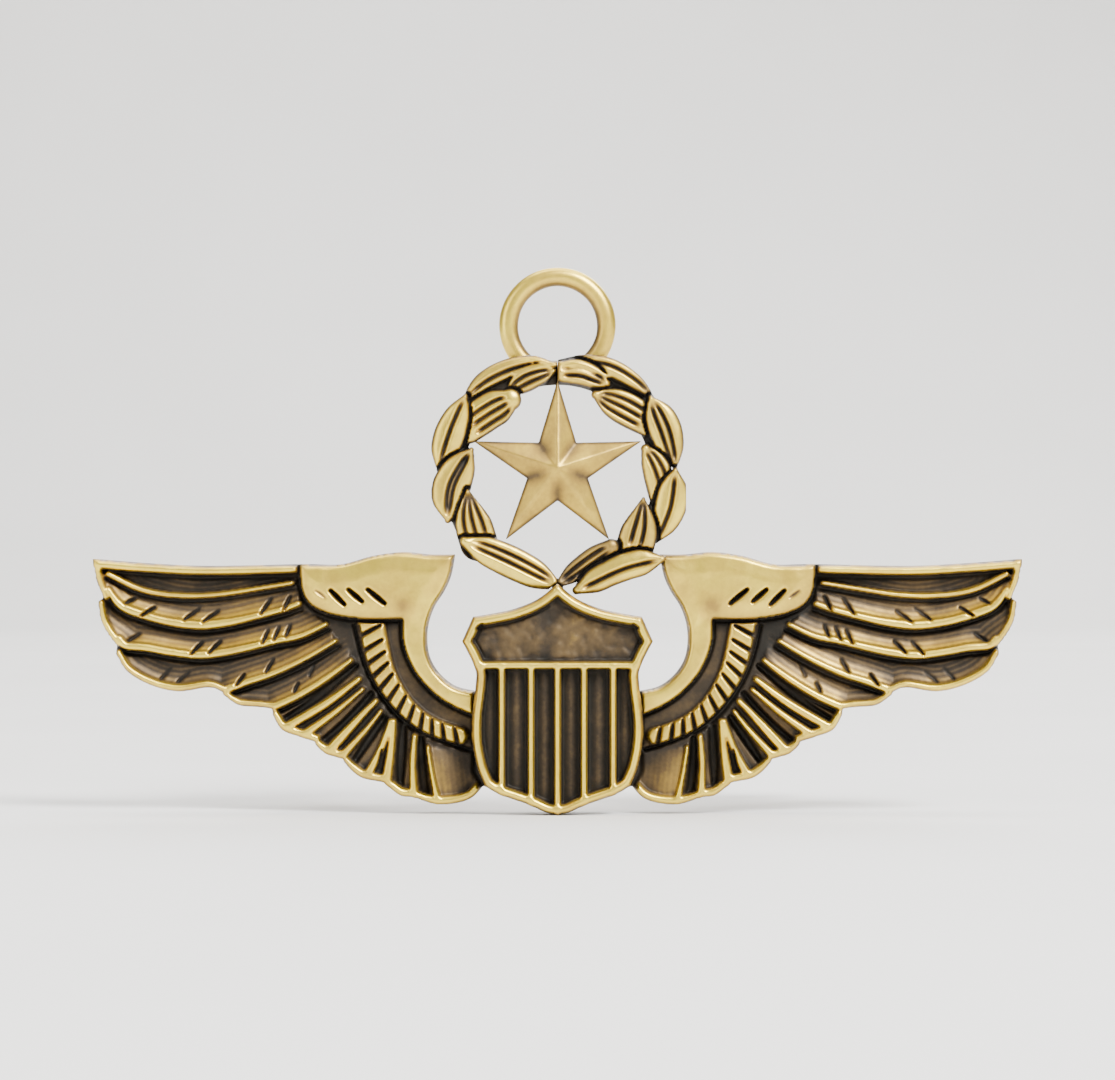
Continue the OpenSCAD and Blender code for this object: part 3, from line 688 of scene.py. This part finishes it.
def shield_relief():
    r = Relief((-5.0, -8.2), (5.0, 3.9))
    half = np.vstack([curve(part)[:-1] for part in SHIELD_HALF[:-1]] + [curve(SHIELD_HALF[-1])])
    outline = both_sides(half)
    r.plate(outline, SHIELD_FIELD, 0.24)
    chief = r.z > BAR_Z
    lumps = np.random.default_rng(5).standard_normal(r.h.shape)
    rough = blur(lumps, 2.2)
    r.h += np.where(chief, 0.028 * rough / rough.std(), 0)
    patches = blur(lumps, 9.0)
    r.wear_and_painted_light += np.where(chief, 0.05 * patches / patches.std() + 0.03 * rough / rough.std(), 0)
    below = smooth(BAR_Z, BAR_Z - 0.1, r.z)
    r.h = r.h * (1 - below) + SLOT_FLOOR * below
    for a, b in zip(RIB_X, RIB_X[1:] + (4.0,)):
        middle = (a + b) / 2
        for side in (-1, 1):
            beside = r.x - side * middle
            # Each slot floor swells along its middle, and a painted highlight is added to the colour along
            # the swell
            swell_and_highlight = bell(beside, 0.24) * below
            r.h += 0.07 * swell_and_highlight
            r.wear_and_painted_light = r.wear_and_painted_light * (1 - below * (abs(beside) < (b - a) / 2)) + 0.24 * swell_and_highlight
    for x in RIB_X:
        for side in ((1,) if x == 0 else (-1, 1)):
            foot = [side * x, -7.8 + 0.09 * x * x]
            r.bar([[side * x, BAR_Z], foot], [0.4, 0.38, 0.4], SHIELD_TOP - 0.08)
    r.bar([[-4.1, BAR_Z], [4.1, BAR_Z]], [0.44, 0.44], SHIELD_TOP - 0.06)
    rim = inset_outline(outline, 0.25)
    r.bar(np.vstack([rim, rim[:1]]), [0.52, 0.52], SHIELD_TOP, flat=0.25)
    trench = inset_outline(outline, 0.58)
    for side in (-1, 1):
        beside = (trench[:, 0] * side > 0.3) & (trench[:, 1] > BAR_Z + 0.2)
        r.groove(trench[beside], [0.16, 0.16], SHIELD_FIELD - 0.1, 0.02)
    r.soften()
    r.texture(0.005, 0.6, 11)
    return r


def make_shield():
    cast("shield_face", shield_relief(), "shield", SHIELD_BACK, 0.2)
    foot = Relief((-4, -7.6), (4, 4.2), 0.12)
    half = np.array([[0, 3.85], [0.28, 3.8], [0.3, 1.7], [3.2, 1.4], [3.5, 1.1], [3.5, -5.7], [3.2, -6.2],
                     [1.6, -6.95], [0, -7.2]])
    foot.plate(both_sides(half), SHIELD_BACK + 0.06, 0.3)
    foot.h = np.where(foot.z > TAB_Z, TAB_H, foot.h)
    foot.soften()
    cast("shield_foot", foot, "shield", 0.0, 0.05)


make_shield()


# ---------- star ----------

STAR_Z, STAR_R, STAR_INNER = 9.35, 4.42, 1.6
STAR_TURN = 36                  # degrees from a point to the inner corner beside it
STAR_BACK, STAR_EDGE, STAR_PEAK = 1.55, 1.98, 2.82


def star_relief():
    r = Relief((-4.7, 5.2), (4.7, 14.2), 0.045)
    corners = []
    for i in range(10):
        radius, turn = (STAR_INNER if i % 2 else STAR_R), math.radians(STAR_TURN * i)
        corners.append([radius * math.sin(turn), STAR_Z + radius * math.cos(turn)])
    r.plate(corners, STAR_EDGE, 0.9)
    x, z = r.x, r.z - STAR_Z
    turn = math.radians(STAR_TURN)
    fold = np.abs((np.arctan2(x, z) + turn) % math.radians(2 * STAR_TURN) - turn)
    radius = np.hypot(x, z)
    u, v = radius * np.cos(fold), radius * np.sin(fold)
    slope = (1 - STAR_INNER * math.cos(turn) / STAR_R) / (STAR_INNER * math.sin(turn))
    roof = 1 - u / STAR_R - slope * v
    r.h = blur(STAR_EDGE + (STAR_PEAK - STAR_EDGE) * np.clip(roof, -0.3, 1), 1.5)
    valley = bell(np.abs(fold - turn) * radius, 0.3) * smooth(0.3, 1.2, radius)
    r.wear_and_painted_light = 0.74 - 0.32 * valley * smooth(2.2, 1.3, radius)
    r.texture(0.005, 0.5, 21)
    return r


cast("star_face", star_relief(), "star", STAR_BACK, 0.1)


# ---------- wreath ----------

WREATH_Z, WREATH_BACK, WREATH_BASE, LEAF_TOP = 8.8, 1.1, 1.5, 2.12
SEAM = 0.012                    # each branch stops this far from the middle
# Widths along a leaf, as shares of its width
OVAL = [0.15, 0.8, 1.0, 0.95, 0.7, 0.12]
FAN = [1.0, 1.0, 0.95, 0.74, 0.42, 0.08]
LONG = [0.3, 0.85, 1.0, 1.0, 0.85, 0.3]
# Leaves of each branch from first drawn to last: midrib, width, shape, grooves (-1 to 1 across), brightness
LEFT_LEAVES = [
    ([[-4.75, 12.75], [-3.7, 13.75], [-2.4, 14.4], [-1.1, 14.66], [-0.05, 14.5]], 0.95, OVAL, (-0.25,), 0.9),
    ([[-2.5, 13.2], [-1.4, 13.85], [-0.15, 14.25]], 1.15, OVAL, (-0.3, 0.36), 0.9),
    ([[-4.5, 11.45], [-3.5, 12.15], [-2.35, 12.8]], 1.8, [0.95, 1, 1, 0.95, 0.6], (-0.6, -0.12, 0.36), 0.95),
    ([[-5.95, 9.3], [-5.35, 11.2], [-4.6, 13.0]], 1.55, OVAL, (0.05,), 0.95),
    ([[-5.5, 6.75], [-5.3, 8.5], [-4.3, 10.3]], 1.9, OVAL, (-0.12, 0.12), 0.95),
    ([[-3.95, 5.65], [-4.3, 6.9], [-4.5, 8.25]], 1.9, FAN, (-0.5, 0.0, 0.5), 0.95),
    ([[-4.65, 5.7], [-2.4, 4.7], [-0.03, 3.5]], 1.62, LONG, (-0.05, 0.42), 0.98)]
RIGHT_LEAVES = [
    ([[0.0, 14.45], [1.2, 14.6], [2.6, 14.42], [3.9, 13.7], [4.85, 12.8]], 0.95,
     [0.7, 0.9, 1, 0.95, 0.7, 0.12], (0.2,), 0.9),
    ([[0.1, 14.15], [1.2, 14.15], [2.45, 13.6]], 1.25, [0.75, 1, 1, 0.85, 0.3], (-0.28, 0.34), 0.88),
    ([[4.5, 11.7], [3.4, 12.35], [1.9, 13.05]], 1.65, [0.9, 1, 1, 0.8, 0.25], (-0.5, 0.0, 0.5), 0.9),
    ([[4.65, 12.9], [5.4, 11.3], [5.9, 9.4]], 1.65, OVAL, (-0.3, 0.2), 0.95),
    ([[5.3, 8.1], [4.95, 9.3], [4.4, 10.35]], 1.5, [1, 1, 0.95, 0.75, 0.3], (-0.45, 0.1), 0.9),
    ([[5.9, 9.3], [5.65, 7.4], [4.95, 5.7]], 1.6, OVAL, (0.0,), 0.95),
    ([[3.85, 5.3], [4.15, 6.5], [4.3, 7.85]], 1.9, FAN, (-0.25, 0.3), 0.85),
    ([[2.7, 5.45], [1.5, 4.65], [0.05, 3.55]], 1.1, [0.7, 1, 1, 0.85, 0.3], (-0.3, 0.35), 0.66),
    ([[5.3, 4.85], [3.3, 4.4], [0.95, 3.25]], 1.4, [0.2, 0.9, 1, 0.95, 0.85, 0.3], (0.12,), 0.98)]


def branch_relief(side, leaves):
    across = (-6.4, -SEAM) if side < 0 else (SEAM, 6.4)
    r = Relief((across[0], 3.0), (across[1], 15.3))
    radius = np.hypot(r.x, r.z - WREATH_Z)
    outer = np.where(r.z > 12, 6.12 - 0.16 * bell(r.x, 1.0), 5.7)
    band = np.maximum(np.maximum(radius - outer, 4.75 - radius), 6.3 - r.z)
    r.edge = np.minimum(r.edge, band)
    corner = curve([[4.95, 6.6], [4.8, 5.7], [4.6, 5.2], [4.2, 5.2], [4.3, 6.4], [4.6, 6.9]]) * [side, 1]
    r.edge = np.minimum(r.edge, outline_distance(corner, r.x, r.z))
    if side > 0:
        between = [[2.2, 4.6], [2.5, 5.5], [3.4, 5.7], [4.0, 5.0], [3.0, 4.4]]
        r.edge = np.minimum(r.edge, outline_distance(between, r.x, r.z))
    r.h[:] = WREATH_BASE
    r.wear_and_painted_light[:] = 0.14
    for path, width, shape, grooves, bright in leaves:
        r.leaf(path, [width * s for s in shape], WREATH_BASE, LEAF_TOP, grooves, bright)
    crest = [[side * x, WREATH_Z + math.sqrt(5.76 ** 2 - x * x)] for x in (2.6, 2.0, 1.3, 0.6, 0.05)]
    r.bar(crest, [0.16, 0.34, 0.36, 0.34], LEAF_TOP - 0.1, 0.85)
    r.edge = np.maximum(r.edge, side * -r.x + SEAM)
    apex = outline_distance(both_sides(curve(SHIELD_HALF[0])[:14]), r.x, r.z)
    r.edge = np.maximum(r.edge, 0.06 - apex)
    r.soften()
    r.texture(0.006, 0.4, 31 + side)
    return r


for TURN, SIDE, LEAVES in ((-1, "left", LEFT_LEAVES), (1, "right", RIGHT_LEAVES)):
    cast(f"wreath_{SIDE}_leaves", branch_relief(TURN, LEAVES), f"wreath_{SIDE}_branch", WREATH_BACK, 0.12)


# ---------- turned and bent metal, drawn as (u, v, w): along the span, across it, out of the back ----------

def rounded(corners, radii, steps=4):
    """A closed outline with its corners rounded."""
    p = np.array(corners, float)
    out = []
    for i, radius in enumerate(radii):
        a, b, c = p[i - 1], p[i], p[(i + 1) % len(p)]
        if radius == 0:
            out.append(b)
            continue
        u, v = (a - b) / np.linalg.norm(a - b), (c - b) / np.linalg.norm(c - b)
        reach = radius * math.tan((math.pi - math.acos(np.clip(u @ v, -1, 1))) / 2)
        for t in np.arange(steps + 1) / steps:
            out.append((1 - t) ** 2 * (b + u * reach) + 2 * t * (1 - t) * b + t * t * (b + v * reach))
    return np.array(out)


def around(centre, radius, angle):
    """The point at an angle on a circle."""
    return np.array(centre) + radius * np.array([math.cos(angle), math.sin(angle)])


def turned(profile, segments=96):
    """A closed profile of (radius, height) turned round the w axis."""
    angles = 2 * math.pi * np.arange(segments) / segments
    points = [(r * math.cos(a), r * math.sin(a), w) for a in angles for r, w in profile]
    n = len(profile)
    faces = []
    for i in range(segments):
        here, there = i * n, (i + 1) % segments * n
        faces += [(here + m, there + m, there + (m + 1) % n, here + (m + 1) % n) for m in range(n)]
    return np.array(points), faces


def shell(centres, normals, thick, ring=False):
    """Sheet metal from a grid of points on its middle surface. A ring closes on itself."""
    rows, columns = centres.shape[:2]
    points = np.vstack([(centres + normals * thick / 2).reshape(-1, 3),
                        (centres - normals * thick / 2).reshape(-1, 3)])
    at = np.arange(rows * columns).reshape(rows, columns)
    if ring:
        at = np.hstack([at, at[:, :1]])
    front = np.stack([at[:-1, :-1], at[1:, :-1], at[1:, 1:], at[:-1, 1:]], -1).reshape(-1, 4)
    back = front[:, ::-1] + rows * columns
    borders = [at[0], at[-1][::-1]] + ([] if ring else [at[:, 0][::-1], at[:, -1]])
    walls = [(a, b, b + rows * columns, a + rows * columns)
             for edge in borders for a, b in zip(edge, edge[1:])]
    return points, front.tolist() + back.tolist() + walls


def moved(shape, place):
    """A shape with every point put through place(u, v, w)."""
    points, faces = shape
    return np.array([place(*p) for p in points]), faces


def metal_piece(name, shapes, x, y, bevel=0.0, mirrored=False):
    """One piece made of closed shapes, set at (x, y) behind the face, all in mm."""
    build = bmesh.new()
    for points, faces in shapes:
        start = [build.verts.new((MM * (x + (-u if mirrored else u)), MM * (y + w), -MM * v))
                 for u, v, w in points]
        for face in faces:
            build.faces.new([start[i] for i in face])
    bmesh.ops.remove_doubles(build, verts=build.verts, dist=MM * 1e-4)
    bmesh.ops.dissolve_degenerate(build, edges=build.edges, dist=MM * 1e-5)
    bmesh.ops.recalc_face_normals(build, faces=build.faces)
    mesh = bpy.data.meshes.new(name)
    build.to_mesh(mesh)
    build.free()
    mesh.polygons.foreach_set("use_smooth", [True] * len(mesh.polygons))
    mesh.set_sharp_from_angle(angle=SHARP)
    piece = add_object(name, mesh)
    if bevel:
        edges = piece.modifiers.new("edges", "BEVEL")
        edges.width = MM * bevel
        edges.segments = 2
        edges.limit_method = "ANGLE"
        edges.angle_limit = SHARP
        edges.harden_normals = True
    return piece


# ---------- hanging ring ----------

def make_ring():
    low, high = [[value / MM for value in corner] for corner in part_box("hanging_ring")]
    centre_y, centre_z = (low[1] + high[1]) / 2, (low[2] + high[2]) / 2
    outer = (high[0] - low[0]) / 2
    half_wire, half_depth, squareness = 0.485, (high[1] - low[1]) / 2 - 0.01, 0.88
    section = []
    for angle in 2 * math.pi * np.arange(28) / 28:
        c, s = math.cos(angle), math.sin(angle)
        section.append((outer - 0.005 - half_wire + half_wire * np.sign(c) * abs(c) ** squareness,
                        half_depth * np.sign(s) * abs(s) ** squareness))
    points, faces = turned(section, 140)
    # The wire is a little uneven round the ring
    angle = np.arctan2(points[:, 1], points[:, 0])
    thinned = 1 - 0.012 * (1 + np.sin(3 * angle + 0.6)) - 0.008 * (1 + np.sin(7 * angle))
    middle = outer - half_wire
    radius = np.hypot(points[:, 0], points[:, 1])
    points[:, :2] *= ((middle + (radius - middle) * thinned) / radius)[:, None]
    points[:, 2] *= thinned
    points[:, 1] -= centre_z
    piece = metal_piece("ring_wire", [(points, faces)], 0.0, centre_y)
    # Darker inside and behind, and darker at the foot, which is painted shade where the ring runs behind the
    # wreath
    x, y, z = np.array([v.co[:] for v in piece.data.vertices]).T / MM
    inward = (middle - np.hypot(x, z - centre_z)) / half_wire
    wear_and_painted_light = 0.93 - 0.45 * smooth(0.2, 1.0, inward) - 0.3 * smooth(0.1, 1.0, (y - centre_y) / half_depth)
    set_wear_and_painted_light(piece.data, "POINT", wear_and_painted_light - 0.35 * smooth(-1.6, -2.6, z - centre_z))
    finish_piece(piece, "root", BRASS, "hanging_ring")


make_ring()


# ---------- posts and their pads ----------

POST_R, GROOVE_R, PAD_R = 0.55, 0.45, 1.58


def make_post(side):
    x, _ = measured(side + "_post")
    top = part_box(side + "_post")[1][1] / MM
    corners = [(0, 0), (POST_R, 0), (POST_R, top - 2.0), (GROOVE_R, top - 1.85), (GROOVE_R, top - 1.45),
               (POST_R, top - 1.3), (POST_R, top - 0.9), (0.07, top), (0, top)]
    post = turned(rounded(corners, [0, 0, 0.1, 0.08, 0.08, 0.1, 0.3, 0.05, 0]), 64)
    finish_piece(metal_piece(side + "_post_pin", [post], x, 0.0), "root", POST, side + "_post")
    collar = rounded([(POST_R, 0), (PAD_R, 0), (PAD_R, 0.2), (1.3, 0.24), (0.92, 0.36), (POST_R, 0.5)],
                     [0, 0.03, 0.12, 0.3, 0.4, 0])
    finish_piece(metal_piece(side + "_pad_dome", [turned(collar)], x, 0.0), "root", POST, side + "_post_pad")


# ---------- butterfly clutches ----------

DISC_R, SHEET = 4.0, 0.35
PIVOT = np.array([1.9, 2.4])        # hinge pin, as (u, w)
TIP = np.array([4.1, 5.0])          # rolled end of a finger plate
LEVER_SHEET, LEVER_HALF, JAW_HALF_GAP, NOTCH_R = 0.2, 1.64, 0.12, 0.61


def clutch_base(side, body):
    x, y = measured(side + "_clutch_base")
    corners = [(0.6, 0.2), (0.6, 0.45), (3.65, 0.45), (3.65, 1.0), (DISC_R, 1.0), (DISC_R, 0),
               (3.15, 0), (3.0, 0.07), (2.4, 0.07), (2.25, 0), (1.15, 0)]
    shapes = [turned(rounded(corners, [0.04, 0.06, 0.08, 0.16, 0.17, 0.32, 0.1, 0.1, 0.1, 0.1, 0.2]), 128)]
    # An ear rises from the rim and folds in over the spring
    bend = [around((3.505 - 0.175, 0.8), 0.175, a) for a in np.radians(np.arange(0, 91, 18))]
    path = np.array([(3.505, 0.5), (3.505, 0.65), *bend, (3.1, 0.975), (2.9, 0.975), (2.75, 0.97),
                     (2.64, 0.965), (2.57, 0.96)])
    half = 1.3 - 0.35 * smooth(2.95, 2.55, path[:, 0]) ** 2
    sweep = np.linspace(-1, 1, 13)
    for turn in (-1, 1):
        centres = np.array([[(s * h, turn * v, w) for s in sweep] for (v, w), h in zip(path, half)])
        normals = np.array([[(0, turn * d[1], -d[0])] * len(sweep) for d in tangents(path)])
        shapes.append(shell(centres, normals, SHEET - 0.04))
    piece = metal_piece(side + "_clutch_disc", shapes, x, y, 0.05)
    finish_piece(piece, body, CLUTCH, side + "_clutch_base")


def clutch_spring(side, body):
    x, y = measured(side + "_clutch_base")
    angles = np.radians(np.arange(0, 360, 3.0))
    c, s = np.cos(angles), np.sin(angles)
    outline = ((np.abs(c) / 2.7) ** 8 + (np.abs(s) / 3.27) ** 8 + (1 / 3.5) ** 8) ** (-1 / 8)
    radius = 0.8 + (outline - 0.8) * np.linspace(0, 1, 15)[:, None]
    raised = 0.07 * bell(radius - 1.2, 0.22)
    centres = np.stack([radius * c, radius * s, 0.635 + raised], -1)
    up = np.zeros(centres.shape)
    up[..., 2] = 1
    shapes = [shell(centres, up, 0.3, ring=True)]
    foot = PIVOT[1] - 0.62
    lug = ((np.abs(c) / 0.55) ** 12 + (np.clip(-s, 0, 1) / foot) ** 12) ** (-1 / 12)
    lug = np.where(s > 0, 0.55, lug)
    grid = 0.3 + (lug - 0.3) * np.linspace(0, 1, 5)[:, None]
    side_way = np.zeros((*grid.shape, 3))
    side_way[..., 1] = 1
    for u in (-PIVOT[0], PIVOT[0]):
        for v in (-1.975, 1.975):
            place = np.stack([u + grid * c, np.full(grid.shape, v), PIVOT[1] + grid * s], -1)
            shapes.append(shell(place, side_way, 0.43, ring=True))
    piece = metal_piece(side + "_clutch_sheet_spring", shapes, x, y, 0.05)
    finish_piece(piece, body, CLUTCH, side + "_clutch_spring")


def lever_path():
    """Middle line of a lever's strip as (u, w): jaw, bend under the hinge pin, finger plate and roll.

    Also gives how many points the jaw has, and at which one the finger plate starts."""
    bend_r, roll_r = 0.33, 0.16
    along = (TIP - PIVOT) / np.linalg.norm(TIP - PIVOT)
    jaw_angle, leave = math.radians(-76), math.atan2(-along[0], along[1])
    jaw_end = around(PIVOT, bend_r, jaw_angle)
    jaw = [np.array([JAW_HALF_GAP, 1.62]) * (1 - t) + jaw_end * t for t in np.arange(8) / 8]
    bend = [around(PIVOT, bend_r, a) for a in np.linspace(jaw_angle, leave, 5)]
    normal = np.array([-along[1], along[0]])
    finger = curve([bend[-1], PIVOT + along * 1.35 + normal * -0.3, PIVOT + along * 2.4 + normal * -0.14,
                    TIP + normal * roll_r], 7)
    roll_start = math.degrees(math.atan2(normal[1], normal[0]))
    roll = [around(TIP, roll_r, a) for a in np.radians(roll_start - np.arange(20, 300, 20))]
    return np.array(jaw + bend + list(finger[1:]) + roll), len(jaw), len(jaw) + len(bend)


def clutch_lever(side, which, body, turn):
    x, y = measured(side + "_clutch_base")
    path, jaw_rows, finger_start = lever_path()
    distance = np.concatenate([[0], np.cumsum(np.hypot(*np.diff(path, axis=0).T))])
    reach = (distance - distance[finger_start]) / (distance[-14] - distance[finger_start])
    half = np.where(reach < 0, LEVER_HALF, LEVER_HALF - 0.34 * bell(reach, 0.22))
    columns = np.linspace(-1, 1, 45)
    centres, normals = [], []
    for i, ((u, w), d) in enumerate(zip(path, tangents(path))):
        dish = 0.13 * math.sin(math.pi * np.clip(reach[i], 0, 1)) ** 2
        row = []
        for s in columns:
            v = s * half[i]
            edge_u = math.sqrt(max(NOTCH_R ** 2 - v * v, JAW_HALF_GAP ** 2))
            shift = max(edge_u - JAW_HALF_GAP, 0) * (1 - i / jaw_rows) if i < jaw_rows else 0.0
            sink = dish * math.cos(s * math.pi / 2) ** 2
            row.append((u + shift * d[0] + sink * d[1], v, w + shift * d[1] - sink * d[0]))
        centres.append(row)
        normals.append([(-d[1], 0, d[0])] * len(columns))
    shapes = [shell(np.array(centres), np.array(normals), LEVER_SHEET)]

    def on_hinge(u, v, w):
        return PIVOT[0] + u, w, PIVOT[1] + v

    barrel = rounded([(0.26, -1.7), (0.42, -1.7), (0.42, 1.7), (0.26, 1.7)], [0.03, 0.07, 0.07, 0.03])
    pin = rounded([(0, -2.2), (0.26, -2.2), (0.26, 2.2), (0, 2.2)], [0, 0.16, 0.16, 0])
    shapes += [moved(turned(barrel, 40), on_hinge), moved(turned(pin, 32), on_hinge)]
    piece = metal_piece(f"{side}_clutch_{which}_lever", shapes, x, y, 0.04, mirrored=turn < 0)
    finish_piece(piece, body, CLUTCH, f"{side}_clutch_{which}_wing")


for SIDE, TURN in (("left", -1), ("right", 1)):
    make_post(SIDE)
    clutch_base(SIDE, SIDE + "_clutch")
    clutch_spring(SIDE, SIDE + "_clutch")
    clutch_lever(SIDE, "outer", SIDE + "_outer_lever", TURN)
    clutch_lever(SIDE, "inner", SIDE + "_inner_lever", -TURN)


# ---------- stage, light and camera ----------

def make_stage():
    floor_z = CAD_BOX[0][2]
    bend, wall_y, reach = 0.12, 0.55, 1.2
    profile = [(-reach, 0.0)]
    profile += [(wall_y - bend + bend * math.sin(a), bend - bend * math.cos(a))
                for a in np.radians(np.arange(0, 91, 6))]
    profile.append((wall_y, 1.0))
    mesh = bpy.data.meshes.new("stage_floor")
    points = [(x, y, floor_z + z) for x in (-reach, reach) for y, z in profile]
    n = len(profile)
    mesh.from_pydata(points, [], [(i, n + i, n + i + 1, i + 1) for i in range(n - 1)])
    mesh.polygons.foreach_set("use_smooth", [True] * len(mesh.polygons))
    mesh.materials.append(stage_material())
    add_object("stage_floor", mesh)


def area_light(name, place, target, size, power):
    data = bpy.data.lights.new(name, "AREA")
    data.shape = "RECTANGLE"
    data.size, data.size_y = size
    data.energy = power
    light = add_object(name, data)
    light.location = place
    light.rotation_euler = (Vector(target) - Vector(place)).to_track_quat("-Z", "Y").to_euler()


def make_lights(centre):
    area_light("key", (0.24, -0.34, 0.36), centre, (0.2, 0.2), 7.5)
    area_light("fill", (-0.42, -0.34, 0.16), centre, (0.3, 0.4), 1.5)
    area_light("top", (0.0, 0.05, 0.5), centre, (0.5, 0.3), 3.0)
    area_light("back", (0.1, 0.42, 0.3), centre, (0.4, 0.3), 2.5)
    world = bpy.data.worlds.new("studio")
    bpy.context.scene.world = world
    world.use_nodes = True
    nodes, links = world.node_tree.nodes, world.node_tree.links
    background = nodes["Background"]
    background.inputs["Color"].default_value = (1.0, 0.98, 0.95, 1)
    height = nodes.new("ShaderNodeSeparateXYZ")
    links.new(nodes.new("ShaderNodeTexCoord").outputs["Generated"], height.inputs[0])
    shade = nodes.new("ShaderNodeMapRange")
    for socket, value in (("From Min", -0.5), ("From Max", 0.8), ("To Min", 0.06), ("To Max", 0.55)):
        shade.inputs[socket].default_value = value
    links.new(height.outputs["Z"], shade.inputs["Value"])
    links.new(shade.outputs["Result"], background.inputs["Strength"])


def make_camera(centre):
    width_filled = 0.84
    span = CAD_BOX[1][0] - CAD_BOX[0][0]
    data = bpy.data.cameras.new("camera")
    data.lens = 135
    data.sensor_width = 36
    data.clip_start = 0.01
    camera = add_object("camera", data)
    away = span / width_filled / 2 / math.tan(math.atan(data.sensor_width / 2 / data.lens))
    camera.location = (centre[0], CAD_BOX[0][1] - away, centre[2])
    camera.rotation_euler = (math.radians(90), 0, 0)
    bpy.context.scene.camera = camera


CENTRE = [(low + high) / 2 for low, high in zip(*CAD_BOX)]
make_stage()
make_lights(CENTRE)
make_camera(CENTRE)
